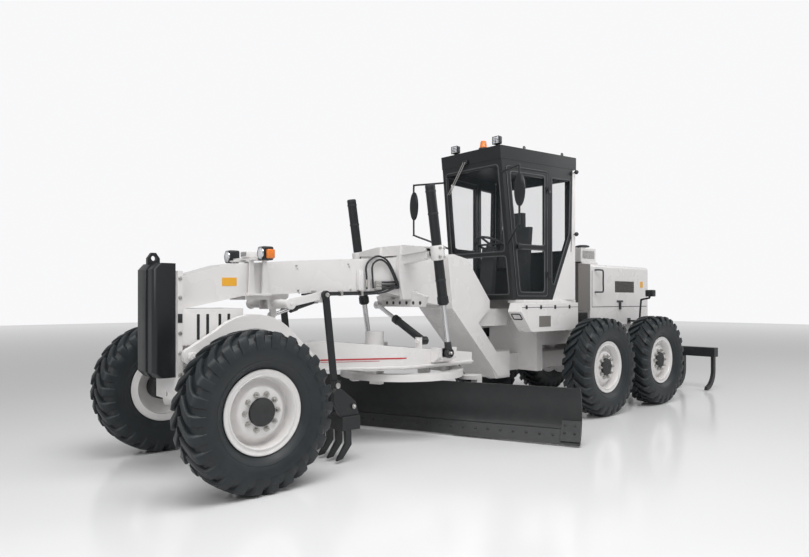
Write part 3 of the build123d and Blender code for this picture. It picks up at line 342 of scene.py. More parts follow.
def grid(points, wrap_rows=False, wrap_columns=False):
    """Join an (n, m, 3) array of points into quads; either direction may close on itself."""
    n, m = points.shape[:2]
    rows = np.arange(n if wrap_rows else n - 1)[:, None]
    columns = np.arange(m if wrap_columns else m - 1)[None, :]
    a = rows * m + columns
    b = rows * m + (columns + 1) % m
    c = ((rows + 1) % n) * m + (columns + 1) % m
    d = ((rows + 1) % n) * m + columns
    faces = np.stack([np.broadcast_to(v, a.shape) for v in (a, b, c, d)], -1)
    return points.reshape(-1, 3), faces.reshape(-1, 4)


def merged(*shapes):
    """Several (points, faces) as one."""
    starts = np.cumsum([0] + [len(p) for p, f in shapes[:-1]])
    return (np.concatenate([p for p, f in shapes]),
            [[corner + int(start) for corner in face] for (p, f), start in zip(shapes, starts) for face in f])


def piece(name, body, slot, material, *shapes, replaces=(), bevel=0.0):
    """One object from its shapes, riding on a body, with its normals made to point outwards."""
    points, faces = merged(*shapes)
    mesh = bpy.data.meshes.new(name)
    mesh.from_pydata(points.tolist(), [], faces)
    work = bmesh.new()
    work.from_mesh(mesh)
    bmesh.ops.remove_doubles(work, verts=work.verts, dist=SAME_PLACE)
    bmesh.ops.recalc_face_normals(work, faces=work.faces)
    work.to_mesh(mesh)
    work.free()
    mesh.shade_smooth()
    mesh.set_sharp_from_angle(angle=SMOOTH_ANGLE)
    obj = bpy.data.objects.new(name, mesh)
    bpy.context.scene.collection.objects.link(obj)
    dress(obj, material)
    if bevel:
        soften = obj.modifiers.new("edges", "BEVEL")
        soften.width = bevel
        soften.segments = 2
        soften.limit_method = "ANGLE"
        soften.harden_normals = True
    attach(obj, body)
    if replaces:
        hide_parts(*replaces)
    print(name, "has", len(mesh.polygons), "faces")


def turned(profile, centre, axis, sides):
    """A profile of (radius, along) pairs turned round an axis: x = r cos t, y = r sin t."""
    profile = np.array(profile, float)
    t = np.linspace(0, 2 * np.pi, sides, endpoint=False)
    r = profile[:, :1]
    along = np.broadcast_to(profile[:, 1:], (len(profile), sides))
    flat = np.stack([r * np.cos(t), r * np.sin(t), along], -1)
    order = {"X": [2, 0, 1], "Y": [1, 2, 0], "Z": [0, 1, 2]}[axis]
    return grid(flat[..., order] + np.asarray(centre, float), wrap_columns=True)


def capped(rows):
    """Rings of points joined into a wall, with one flat face over the first ring and one over the last."""
    points, faces = grid(rows, wrap_columns=True)
    count = rows.shape[1]
    return points, faces.tolist() + [list(range(count)), list(range(len(points) - count, len(points)))]


def smooth_path(corners, steps):
    """A curve through corner points: a Catmull-Rom spline evaluated as whole arrays."""
    p = np.array(corners, float)
    p = np.vstack([2 * p[0] - p[1], p, 2 * p[-1] - p[-2]])
    t = np.linspace(0, 1, steps, endpoint=False)[:, None, None]
    a, b, c, d = p[:-3], p[1:-2], p[2:-1], p[3:]
    q = 0.5 * ((2 * b) + (c - a) * t + (2 * a - 5 * b + 4 * c - d) * t ** 2 + (3 * b - a - 3 * c + d) * t ** 3)
    return np.vstack([q.transpose(1, 0, 2).reshape(-1, 3), p[-2]])


def slab(low, high, radius, steps=3):
    """A box with rounded edges: points of a sphere grid pushed out to the corners of an inner box."""
    low, high = np.array(low, float), np.array(high, float)
    radius = min(radius, (high - low).min() / 2 * 0.98)
    half = (high - low) / 2 - radius
    quarter = np.linspace(0, np.pi / 2, steps)
    turn = np.concatenate([quarter + k * np.pi / 2 for k in range(4)])
    signs_u = np.repeat([[1, 1], [-1, 1], [-1, -1], [1, -1]], steps, axis=0)
    tilt = np.concatenate([quarter - np.pi / 2, quarter])
    sign_v = np.repeat([-1, 1], steps)
    ball = np.stack([np.cos(tilt)[:, None] * np.cos(turn), np.cos(tilt)[:, None] * np.sin(turn),
                     np.broadcast_to(np.sin(tilt)[:, None], (2 * steps, 4 * steps))], -1)
    push = np.stack([np.broadcast_to(signs_u[:, 0] * half[0], ball.shape[:2]),
                     np.broadcast_to(signs_u[:, 1] * half[1], ball.shape[:2]),
                     np.broadcast_to((sign_v * half[2])[:, None], ball.shape[:2])], -1)
    return capped(ball * radius + push + (low + high) / 2)


def mirrored(shape):
    """The same shape on the other side of the machine."""
    points, faces = shape
    return points * [1, -1, 1], faces


def nut(centre, axis, size, height):
    """A six-sided nut with a chamfered crown on a round washer."""
    crown = turned([(0, height), (size * 0.42, height), (size * 0.5, height * 0.82), (size * 0.5, height * 0.12),
                    (0, height * 0.12)], centre, axis, 6)
    washer = turned([(0, height * 0.14), (size * 0.66, height * 0.14), (size * 0.66, 0), (0, 0)], centre, axis, 16)
    return merged(crown, washer)


print("a nut has", len(nut((0, 0, 0), "Y", 0.028, 0.014)[1]), "faces")


# %% [markdown]
# Steel plate never has razor edges: it is ground or rolled, and the small round
# catches the light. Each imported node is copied, the copy's flat faces are merged, and
# a narrow bevel goes round every crease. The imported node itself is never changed.

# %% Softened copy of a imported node
MERGE_DISTANCE = 2e-5
FLAT_ANGLE = math.radians(0.6)
CREASE_ANGLE = math.radians(28)


def softened(node, width, reshape):
    """A copy of a node with merged faces and narrow rounded edges, standing for it."""
    source = NODES[node]
    mesh = source.data.copy()
    work = bmesh.new()
    work.from_mesh(mesh)
    bmesh.ops.remove_doubles(work, verts=work.verts, dist=MERGE_DISTANCE)
    bmesh.ops.dissolve_limit(work, angle_limit=FLAT_ANGLE, verts=work.verts, edges=work.edges)
    work.to_mesh(mesh)
    work.free()
    if reshape:
        points = np.empty(3 * len(mesh.vertices), np.float32)
        mesh.vertices.foreach_get("co", points)
        moved = reshape(points.reshape(-1, 3).astype(float))
        mesh.vertices.foreach_set("co", moved.astype(np.float32).ravel())
        mesh.update()
    mesh.shade_smooth()
    mesh.set_sharp_from_angle(angle=CREASE_ANGLE)
    obj = bpy.data.objects.new(node + "_soft", mesh)
    bpy.context.scene.collection.objects.link(obj)
    dress(obj, BY_SLOT[SLOT_OF[node]])
    edge = obj.modifiers.new("edges", "BEVEL")
    edge.width = width
    edge.segments = 2
    edge.limit_method = "ANGLE"
    edge.angle_limit = CREASE_ANGLE
    edge.harden_normals = True
    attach(obj, source["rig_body"])
    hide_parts(node)


print("a crease is sharper than", round(math.degrees(CREASE_ANGLE)), "degrees")

# %% [markdown]
# Each copy gets an edge width that suits its plate. Two copies are also reshaped a
# little: the roof's overhang is drawn in, and the hood's side opening takes the place
# and size of the real one.

# %% Edge widths and two reshaped copies
SOFT_EDGES = {
    "front_frame": 0.006, "front_axle": 0.008, "drawbar": 0.006, "circle": 0.005, "blade_carrier": 0.005,
    "rear_chassis": 0.006, "tandem_axle": 0.008, "cab_shell": 0.006, "cab_rear_panels": 0.003,
    "cab_door_left": 0.004, "cab_door_right": 0.004, "hood": 0.003, "scarifier_arms": 0.005,
    "scarifier_lever": 0.004, "ripper": 0.005, "knuckle_left": 0.004, "knuckle_right": 0.004}


def flush_roof(points):
    """The roof's overhang drawn in to a few millimetres, its front leaning with the windscreen."""
    x, y, z = (points - at(0, 0, 0)).T
    z = np.where(np.abs(z - 3.4) < 0.001, 3.43, z)
    front, rear = (z > 3.42) & (x > -3.77), (z > 3.42) & (x < -5.19)
    x = np.where(front, -3.789 + 0.1175 * (z - 3.43), np.where(rear, -5.192, x))
    y = np.where(front, np.sign(y) * 0.531, np.where(rear, np.sign(y) * 0.736, y))
    return np.stack([x, y, z], -1) + at(0, 0, 0)


def longer_grille(points):
    """The hood's side opening moved to the place and size of the real one."""
    x, y, z = (points - at(0, 0, 0)).T
    side = np.abs(y) > 0.5
    for old, new in ((-7.300, -7.165), (-6.800, -6.565)):
        x = np.where(side & (np.abs(x - old) < 0.002) & (z > 1.79) & (z < 1.96), new, x)
    for old, new in ((1.800, 1.715), (1.950, 1.895)):
        z = np.where(side & (np.abs(z - old) < 0.002), new, z)
    return np.stack([x, y, z], -1) + at(0, 0, 0)


RESHAPED = {"cab_shell": flush_roof, "hood": longer_grille}
for node, width in SOFT_EDGES.items():
    softened(node, width, RESHAPED.get(node))
print("packed nodes softened", len(SOFT_EDGES))

# %% [markdown]
# ## Tyres
#
# A grader tyre is a round carcass with heavy lugs that start at the shoulder and
# run slanting to the middle, left and right in turn. The carcass is one turned
# profile, and each lug is the same small block laid on it at its own angle.

# %% Tyre
LUG_COUNT = 26
LUG_HEIGHT = 0.036
CARCASS = TYRE_RADIUS - LUG_HEIGHT


def crown_radius(y):
    """The carcass radius across its width: nearly flat, falling away at the shoulders."""
    return CARCASS - 0.035 * np.clip(np.abs(y) / (TYRE_WIDTH / 2), 0, 1) ** 4


def carcass(centre):
    """One closed turned section: bead, bulging wall, shoulder, crown and the inner lining."""
    half = TYRE_WIDTH / 2
    wall = [(0.305, 0.112), (0.330, 0.116), (0.356, 0.117), (0.366, 0.121), (0.372, 0.129), (0.395, 0.154),
            (0.420, 0.172), (0.428, 0.176), (0.434, 0.174), (0.460, 0.187), (0.500, 0.1955), (0.530, 0.196),
            (0.560, 0.193), (0.585, 0.187), (0.600, 0.178), (0.615, 0.160)]
    crown = [(crown_radius(y), y) for y in np.linspace(0.150, -0.150, 11)]
    lining = [(0.600, -0.14), (0.590, 0.0), (0.600, 0.14), (0.5, 0.17), (0.4, 0.12), (0.33, 0.09), (0.305, 0.09)]
    profile = wall + crown + [(r, -y) for r, y in reversed(wall)] + [(0.305, -0.09), (0.33, -0.09), (0.4, -0.12),
                                                                     (0.5, -0.17)] + lining
    return turned(profile + profile[:1], centre, "Y", 96)


def lugs(centre):
    """Blocks on a grid of (along the lug, round its section); position = centre + (r cos a, y, r sin a)."""
    s = np.array([0, 0.03, 0.07, 0.12, 0.2, 0.35, 0.5, 0.75, 1])
    y_line = 0.199 - 0.189 * s ** 0.9
    sweep = 0.20 * s + 0.05 * s ** 2
    half_width = np.interp(s, [0, 0.10, 0.3, 1], [0.040, 0.047, 0.042, 0.032]) / TYRE_RADIUS
    bottom = np.interp(y_line, [0.0, 0.15, 0.178, 0.199], [0.628, 0.60, 0.585, 0.53])
    top = np.interp(y_line, [0.0, 0.140, 0.170, 0.187, 0.1965, 0.1995], [0.675, 0.671, 0.661, 0.643, 0.61, 0.56])
    section = np.array([[-1.10, 0.0], [-1.0, 0.62], [-0.93, 0.86], [-0.78, 1.0], [0.78, 1.0], [0.93, 0.86],
                        [1.0, 0.62], [1.10, 0.0]])
    radius = bottom[:, None] + (top - bottom)[:, None] * section[None, :, 1]
    angle = sweep[:, None] + half_width[:, None] * section[None, :, 0]
    count = len(section)
    shapes = []
    for side in (1, -1):
        for i in range(LUG_COUNT):
            turn = angle + 2 * np.pi * (i + (0.5 if side < 0 else 0)) / LUG_COUNT
            rows = np.stack([radius * np.cos(turn), np.broadcast_to((side * y_line)[:, None], turn.shape),
                             radius * np.sin(turn)], -1) + centre
            points, faces = grid(rows)
            ends = [list(range(count)), list(range(len(points) - count, len(points)))]
            shapes.append((points, faces.tolist() + ends))
    return merged(*shapes)


WHEELS = ["front_left", "front_right", "tandem_left_front", "tandem_left_rear", "tandem_right_front",
          "tandem_right_rear"]
for wheel in WHEELS:
    centre = middle("tyre_" + wheel)
    piece("lugged_tyre_" + wheel, "wheel_" + wheel, "tyre_rubber", TYRE, carcass(centre), lugs(centre),
          replaces=("tyre_" + wheel,))
print("lugs a tyre", 2 * LUG_COUNT)

# %% [markdown]
# ## Rims
#
# The wheel disc is dished: a wide rim flange with a rolled edge, a grey-shadowed
# barrel, then the flat disc with its ring of nuts round a dark hub cap. One turned
# profile gives the whole pressing, as a lathe would, and the nuts repeat one shape.

# %% Rim
NUT_COUNT = 10
NUT_RING = 0.150
NUT_SEAT = 0.087


def rim(centre, side):
    """Turned profiles; side points the dish outwards."""
    profile = [(0.285, -0.128), (0.345, -0.130), (0.354, -0.124), (0.352, -0.116), (0.306, -0.114), (0.304, 0.114),
               (0.349, 0.116), (0.356, 0.122), (0.354, 0.130), (0.346, 0.132), (0.334, 0.127), (0.322, 0.122),
               (0.312, 0.124), (0.306, 0.128), (0.300, 0.127), (0.295, 0.118), (0.290, 0.098), (0.287, 0.030),
               (0.283, 0.016), (0.272, 0.014), (0.252, 0.026), (0.232, 0.048), (0.218, 0.066), (0.204, 0.080),
               (0.190, 0.086), (0.118, 0.087), (0.118, 0.06), (0.2, 0.05), (0.262, 0.00), (0.285, -0.02),
               (0.285, -0.128)]
    return turned([(r, y * side) for r, y in profile], centre, "Y", 96)


def hub_nuts(centre, side):
    """Nuts with their studs on a ring: x = NUT_RING cos a, z = NUT_RING sin a."""
    stud = turned([(0, 0.046), (0.009, 0.044), (0.010, 0.03), (0.010, 0.0), (0, 0)], (0, 0, 0), "Y", 10)
    points, faces = merged(nut((0, 0, 0), "Y", 0.042, 0.028), stud)
    shapes = []
    for i in range(NUT_COUNT):
        a = 2 * np.pi * i / NUT_COUNT
        place = centre + np.array([NUT_RING * np.cos(a), side * NUT_SEAT, NUT_RING * np.sin(a)])
        shapes.append((points * [1, side, 1] + place, faces))
    return merged(*shapes)


for wheel in WHEELS:
    centre = middle("tyre_" + wheel)
    side = 1 if centre[1] > 0 else -1
    body = "wheel_" + wheel
    piece("dished_rim_" + wheel, body, "white_paint", WHITE, rim(centre, side), replaces=("rim_" + wheel,))
    piece("hub_nuts_" + wheel, body, "bright_rod", STEEL, hub_nuts(centre, side))
    cap = [(0, -0.09), (0.13, -0.09), (0.135, 0.05), (0.118, 0.06), (0.1185, 0.104), (0.114, 0.114),
           (0.09, 0.124), (0.05, 0.1295), (0.016, 0.1305), (0.012, 0.128), (0, 0.128)]
    cap = turned([(r, y * side) for r, y in cap], centre, "Y", 40)
    piece("hub_cap_" + wheel, body, "black_paint", DARK, cap)

# %% [markdown]
# ## Small builders for the details
#
# A tube carries a ring of points along a path; each ring's frame is the last one
# turned as little as possible, so it never twists. A plate is an outline and its
# copy a thickness away. A loop rounds each corner of a polygon with a short curve.

# %% Tubes, plates, loops and lattices
OFF_AXIS = [0.31, 0.53, 0.79]
LOOP_STEPS = 5
LATTICE_DEPTH = 0.003
DOME = 0.3


def tube(path, radius, sides=10, closed=False):
    """A round bar along a path: place + radius (cos t side + sin t (direction x side))."""
    path = np.array(path, float)
    along = np.roll(path, -1, 0) - np.roll(path, 1, 0) if closed else np.gradient(path, axis=0)
    along /= np.linalg.norm(along, axis=1)[:, None]
    side = np.cross(along[0], OFF_AXIS)
    turn = np.linspace(0, 2 * np.pi, sides, endpoint=False)[:, None]
    rows = []
    for place, direction in zip(path, along):
        side = side - direction * side.dot(direction)
        side /= np.linalg.norm(side)
        rows.append(place + radius * (np.cos(turn) * side + np.sin(turn) * np.cross(direction, side)))
    rows = np.array(rows)
    return grid(rows, True, True) if closed else capped(rows)


def plate(outline, thickness):
    """A flat outline of places and its copy a thickness away, joined round the edge."""
    front = np.array(outline, float)
    return capped(np.stack([front, front + np.array(thickness, float)]))


def loop(corners, reach):
    """Polygon corners rounded: (1-t)^2 a + 2t(1-t) p + t^2 b, with a and b a reach away along the sides."""
    corners = np.array(corners, float)
    t = np.linspace(0, 1, LOOP_STEPS)[:, None]
    arcs = []
    for before, corner, after in zip(np.roll(corners, 1, 0), corners, np.roll(corners, -1, 0)):
        a = corner + (before - corner) / np.linalg.norm(before - corner) * reach
        b = corner + (after - corner) / np.linalg.norm(after - corner) * reach
        arcs.append((1 - t) ** 2 * a + 2 * t * (1 - t) * corner + t ** 2 * b)
    return np.concatenate(arcs)


def lattice(corner, across, up, pitch, width):
    """Two families of diagonal strips over a panel, each cut off at its edges."""
    corner, across, up = (np.array(v, float) for v in (corner, across, up))
    wide, tall = np.linalg.norm(across), np.linalg.norm(up)
    x_axis, y_axis = across / wide, up / tall
    out = np.cross(x_axis, y_axis) * LATTICE_DEPTH
    shapes = []
    for slope in (1, -1):
        for start in np.arange(-tall, wide, pitch):
            low, high = max(start, 0), min(start + tall, wide)
            if high - low < pitch / 3:
                continue
            rise = [(a - start) if slope > 0 else tall - (a - start) for a in (low, high)]
            ends = [corner + a * x_axis + b * y_axis for a, b in zip((low, high), rise)]
            half = x_axis * width / 2
            shapes.append(plate([ends[0] - half, ends[0] + half, ends[1] + half, ends[1] - half], out))
    return merged(*shapes)


def disc(centre, axis, radius, height):
    """A short round cap with a rounded edge, standing out along an axis."""
    rounded = [(0, height), (radius * (1 - DOME), height), (radius * (1 - DOME * 0.3), height * 0.86),
               (radius, height * 0.5), (radius, 0), (0, 0)]
    return turned(rounded, centre, axis, 24)


print("a rounded square has", len(loop([(0, 0), (1, 0), (1, 1), (0, 1)], 0.1)), "corners")


# %% [markdown]
# ## Fabricated forms
#
# Much of a grader is flame-cut plate welded up: a flat outline with a thickness.
# The real sheets are drawn in millimetres, so these builders take millimetres from
# the front axle line and hand back metres. Narrow bevels then soften every edge.

# %% Cut plate, bars and louvres
LOUVRE_PITCH = 36


def mm(x, y, z):
    """A place given in millimetres from the front axle line."""
    return at(x / 1000, y / 1000, z / 1000)


def cut_x(outline, x):
    """A (y, z) outline given a thickness from x[0] to x[1]."""
    return plate([mm(x[0], a, b) for a, b in outline], ((x[1] - x[0]) / 1000, 0, 0))


def cut_y(outline, y):
    """An (x, z) outline given a thickness from y[0] to y[1]."""
    return plate([mm(a, y[0], b) for a, b in outline], (0, (y[1] - y[0]) / 1000, 0))


def cut_z(outline, z):
    """An (x, y) outline given a thickness from z[0] to z[1]."""
    return plate([mm(a, b, z[0]) for a, b in outline], (0, 0, (z[1] - z[0]) / 1000))


def block(x, y, z):
    """A plain block between three pairs of limits."""
    return cut_z([(x[0], y[0]), (x[1], y[0]), (x[1], y[1]), (x[0], y[1])], z)


def soft_block(x, y, z, radius):
    """A block with rounded edges."""
    return slab(mm(x[0], y[0], z[0]), mm(x[1], y[1], z[1]), radius / 1000, 4)


def bar(a, b, radius):
    """A round bar between two places."""
    return tube([mm(*a), mm(*b)], radius / 1000, 24)


def both(*shapes):
    """Each shape and its mirror image across the middle of the machine."""
    return merged(*shapes, *[mirrored(shape) for shape in shapes])


def facing(shape, x, way):
    """A shape drawn facing sideways, turned to face ahead (way 1) or back (way -1) from a plane at x."""
    points, faces = shape
    side, out, up = (points - at(0, 0, 0)).T
    return np.stack([x + way * out, side, up], -1) + at(0, 0, 0), faces


def louvres(x, y, z):
    """Slanting blades in front of a back sheet, facing +y."""
    shapes = [block(x, (y[0], y[0] + 5), z)]
    count = int((z[1] - z[0]) / LOUVRE_PITCH)
    for i in range(count):
        low = z[0] + (i + 0.15) * (z[1] - z[0]) / count
        shapes.append(cut_x([(y[0] + 4, low + 12), (y[1], low), (y[1], low + 6), (y[0] + 4, low + 24)], x))
    return merged(*shapes)


def holed(outline, centre, radius, y, steps=48):
    """An (x, z) plate round a hole: rays from the hole's centre meet the outline's edges."""
    corners = np.array(outline, float) - centre
    angles = np.sort(np.concatenate([np.arctan2(corners[:, 1], corners[:, 0]) % (2 * np.pi),
                                     np.linspace(0, 2 * np.pi, steps, endpoint=False)]))
    ray = np.stack([np.cos(angles), np.sin(angles)], -1)[:, None]
    a, b = corners[None], np.roll(corners, -1, 0)[None]
    edge = b - a
    cross = ray[..., 0] * edge[..., 1] - ray[..., 1] * edge[..., 0]
    cross = np.where(np.abs(cross) < 1e-9, 1e-9, cross)
    reach = (a[..., 0] * edge[..., 1] - a[..., 1] * edge[..., 0]) / cross
    share = (a[..., 0] * ray[..., 1] - a[..., 1] * ray[..., 0]) / cross
    reach = np.where((reach > 0) & (share > -1e-6) & (share < 1 + 1e-6), reach, 1e9).min(1)
    rows = []
    for size, side in ((reach, y[0]), (reach, y[1]), (radius, y[1]), (radius, y[0])):
        flat = centre + ray[:, 0] * np.reshape(size, (-1, 1))
        rows.append(np.stack([flat[:, 0], np.full(len(flat), side), flat[:, 1]], -1) / 1000 + at(0, 0, 0))
    return grid(np.array(rows), True, True)


# %% [markdown]
# The nose carries a heavy push block: a tall slab with rounded front corners, a
# raised strip down its middle and a lifting eye on top. It could be sculpted, but a
# stack of rounded outlines, drawn back at the bottom and the top, gives the same soft
# shoulders from a few numbers.

# %% Nose block
NOSE_BACK, NOSE_FRONT = 345, 560
NOSE_LOW, NOSE_HIGH = 905, 1915


def upright(section, levels):
    """A stack of (x, y) loops: section(front) gives the loop whose front face lies at that x."""
    return capped(np.array([[mm(a, b, z) for a, b in section(front)] for z, front in levels]))


def rounded_front(back, half, radius):
    """A rectangle whose two front corners are quarter circles."""
    turn = np.linspace(0, np.pi / 2, 7)

    def section(front):
        arc = np.stack([front - radius + radius * np.cos(turn), half - radius + radius * np.sin(turn)], -1)
        return [(back, -half)] + [(a, -b) for a, b in arc[::-1]] + [tuple(p) for p in arc] + [(back, half)]
    return section


face = NOSE_FRONT - 14
body = upright(rounded_front(NOSE_BACK, 205, 45), [
    (NOSE_LOW, face - 50), (NOSE_LOW + 50, face), (NOSE_HIGH - 45, face), (NOSE_HIGH + 12, face - 50)])
strip = upright(rounded_front(face - 60, 60, 10), [
    (NOSE_LOW + 5, NOSE_FRONT - 35), (NOSE_LOW + 55, NOSE_FRONT), (NOSE_HIGH - 50, NOSE_FRONT),
    (NOSE_HIGH, face - 20)])
hook = holed([(415, 1910), (415, 1975), (450, 2025), (490, 2025), (525, 1975), (525, 1910)], (470, 1975), 24,
             (-22, 22))
piece("nose_block", "front_frame", "black_paint", BLACK, body, strip, hook, replaces=("push_block",), bevel=0.006)

# %% [markdown]
# Two pin holes in the strip and four long slots on each side of the bolster look
# black in the photograph. A hole cut through a imported part would change its shape, so
# each is a dark inset a millimetre proud, which reads the same at this distance.

# %% Nose holes and bolster slots, drawn as painted shade
BOLSTER_FACE = 0.2403

# Painted shade: each dark inset stands in for the shade inside a pin hole or a slot.
hole_shade_discs = [turned([(0.0, 0.0006), (0.018, 0.0006), (0.020, -0.001), (0, -0.001)], at(0.560, 0, z / 1000), "X", 24)
         for z in (1178, 1612)]
piece("nose_holes", "front_frame", "black_paint", HOSE_AND_HOLE_SHADE, *hole_shade_discs)
slots = []
for x in (-150, -60, 60, 150):
    outline = loop([(x - 14, 1235), (x + 14, 1235), (x + 14, 1470), (x - 14, 1470)], 8)
    slots.append(plate([at(a / 1000, BOLSTER_FACE, b / 1000) for a, b in outline], (0, 0.0008, 0)))
piece("bolster_slots", "front_frame", "black_paint", HOSE_AND_HOLE_SHADE, both(*slots))

# %% [markdown]
# The headlamps stand on posts of cut sheet, two a side, bolted to the beam and
# joined by a crossbar with a small box on it. They are made as a fabricator would
# make them: outlines given a thickness, and mirrored.

# %% Lamp posts
POST_X = -490

foot = [block((POST_X - 125, POST_X + 125), (150.5, 225), (1640, 1662)),
        block((POST_X - 125, POST_X + 125), (150.5, 164), (1600, 1641))]
for post in (POST_X - 72, POST_X + 72):
    foot.append(cut_y([(post - 34, 1661), (post + 34, 1661), (post + 20, 1986), (post - 20, 1986)], (172, 196)))
foot.append(block((POST_X - 100, POST_X + 100), (120, 220), (1985, 1999)))
crossbar = block((POST_X - 32, POST_X + 32), (-345, 345), (1998, 2024))
piece("lamp_posts", "front_frame", "white_paint", WHITE, both(*foot), crossbar, replaces=("lamp_post",),
      bevel=0.003)
case = soft_block((POST_X - 60, POST_X + 60), (-70, 70), (2023, 2085), 8)
piece("lamp_case", "front_frame", "white_paint", WHITE, case)

# %% [markdown]
# The saddle straddles the beam and carries both lift cylinders on its arms. Below it
# hangs a wing plate with a row of holes: the shift cylinder pins into one of them, so
# the blade can be hung further to either side. Plates again, with two trunnion pins.

# %% Saddle
SADDLE_X, TRUNNION_Z = -2447, 2130
WING_FACE = SADDLE_X - 70

top = cut_x([(-600, 2150), (-600, 2205), (-250, 2245), (250, 2245), (600, 2205), (600, 2150), (250, 2125),
             (-250, 2125)], (SADDLE_X - 90, SADDLE_X + 90))
cheek = cut_y([(SADDLE_X - 130, 1600), (SADDLE_X - 150, 2235), (SADDLE_X + 110, 2235), (SADDLE_X + 130, 1900),
               (SADDLE_X + 60, 1600)], (150.5, 210))
arm = cut_x([(200, TRUNNION_Z - 110), (200, TRUNNION_Z + 60), (600, TRUNNION_Z + 60), (600, TRUNNION_Z - 55)],
            (SADDLE_X - 60, SADDLE_X + 60))
wing = cut_x([(-455, 1640), (-395, 1515), (395, 1515), (455, 1640), (160, 1720), (151, 1720), (151, 1607),
              (-151, 1607), (-151, 1720), (-160, 1720)], (SADDLE_X - 130, WING_FACE))
lug = [bar((SADDLE_X - 71, -330, 1535), (-2400, -330, 1535), 20),
       block((SADDLE_X - 71, -2470), (-375, -285), (1490, 1608))]
pin = bar((SADDLE_X, 599, TRUNNION_Z), (SADDLE_X, 662, TRUNNION_Z), 25)
piece("lift_saddle", "front_frame", "white_paint", WHITE, top, both(cheek, arm, pin), wing, *lug,
      replaces=("saddle",), bevel=0.005)
# Painted shade: dark discs on the wing plate stand in for the shade inside its holes.
holes = [turned([(0, 0.001), (0.0205, 0.001), (0.022, 0.0), (0, 0)], at(WING_FACE / 1000, y / 1000, 1.563), "X", 20)
         for y in range(-360, 361, 120)]
piece("shift_holes", "front_frame", "black_paint", HOSE_AND_HOLE_SHADE, *holes)

# %% [markdown]
# The scarifier's rack is a heavy bar across the machine with eleven bent teeth wedged
# into it. Each tooth is one outline seen from the side, cut from plate, so a single
# list of corners repeated along the bar makes the whole row.

# %% Scarifier rack
RACK_HALF = 790
TOOTH_COUNT = 11
LINK_EYE = (-1240, 715)
RACK_X, RACK_Z = (-1290, -1070), (315, 455)

(x0, x1), (z0, z1) = RACK_X, RACK_Z
end = cut_y([(x0, z1 - 1), (x1, z1 - 1), (-985, 600), (-975, 700), (-1020, 735), (-1085, 720), (-1250, 590)],
            (RACK_HALF - 75, RACK_HALF - 20))
boss = bar((-1215, RACK_HALF - 21, 545), (-1215, RACK_HALF - 8, 545), 22)
clevis = cut_y([(x0 + 10, z1 - 1), (x1 - 60, z1 - 1), (LINK_EYE[0] + 50, LINK_EYE[1] + 45),
                (LINK_EYE[0] - 45, LINK_EYE[1] + 45)], (442.5, 476))
seat = cut_y([(x0 + 30, z1 - 1), (x1, z1 - 1), (-1060, 700), (-1190, 700)], (290, 350))
shank = [(x1 - 45, z0 + 10), (x1 - 120, z0 + 10), (x1 - 125, 170), (x1 - 15, 40), (x1 + 55, 30), (x1 + 30, 75),
         (x1 - 50, 190)]
shanks = [cut_y(shank, (y - 17, y + 17)) for y in np.linspace(-RACK_HALF + 30, RACK_HALF - 30, TOOTH_COUNT)]
piece("tooth_rack", "scarifier", "black_paint", BLACK, block(RACK_X, (-RACK_HALF, RACK_HALF), RACK_Z),
      both(end, boss, clevis, seat), *shanks, replaces=("scarifier_rack",), bevel=0.004)

# %% [markdown]
# Two flat links hang the rack from the lever above. A link is a strap with a ring at
# each end, so the strap is a plate along the line between the two pins, and each ring
# is a round plate with a hole.

# %% Scarifier links
STRAP_HALF = 0.038


def link_ring(place):
    """A round plate with a hole: outline points at place + 44 (cos t, sin t), in millimetres."""
    x, z = 1000 * place[0], 1000 * place[2]
    t = np.linspace(0, 2 * np.pi, 24, endpoint=False)
    return holed([(x + 44 * math.cos(a), z + 44 * math.sin(a)) for a in t], (x, z), 17, (398, 442), 24)


start, stop = np.array([-1.130, 0.42, 1.650]), np.array([-1.240, 0.42, 0.715])
down = (stop - start) / np.linalg.norm(stop - start)
across = np.array([down[2], 0, -down[0]]) * STRAP_HALF
corners = [start + across, stop + across, stop - across, start - across]
strap = plate([at(*(p + [0, -0.015, 0])) for p in corners], (0, 0.030, 0))
eyes = [link_ring(place) for place in (start, stop)]
piece("link_bars", "scarifier_links", "black_paint", BLACK, both(strap, *eyes), replaces=("scarifier_links",),
      bevel=0.004)

# %% [markdown]
# The drawbar's legs are edged with a flange, and near the back two lugs take the lift
# cylinders' eyes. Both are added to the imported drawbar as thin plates, so that its
# triangle has an edge that catches the light.

# %% Drawbar flange and lugs
flange = cut_z([(-1250, 128), (-2060, 588), (-3200, 588), (-3200, 480), (-2090, 480), (-1250, 60)], (842, 864))
lift_lug = cut_x([(558, 880), (558, 1050), (683, 1050), (683, 940), (600, 880)], (-2800, -2500))
piece("drawbar_edges", "drawbar", "white_paint", WHITE, both(flange, lift_lug), bevel=0.004)

# %% [markdown]
# The cab's fittings: oval mirrors on bent tube, two square lamps and a beacon on
# the roof, and tail lamps on brackets that stand out past the rear wheels.

# %% Mirrors
MIRROR = (-3.632, 0.950, 2.950)
MIRROR_HALF = (0.080, 0.205)

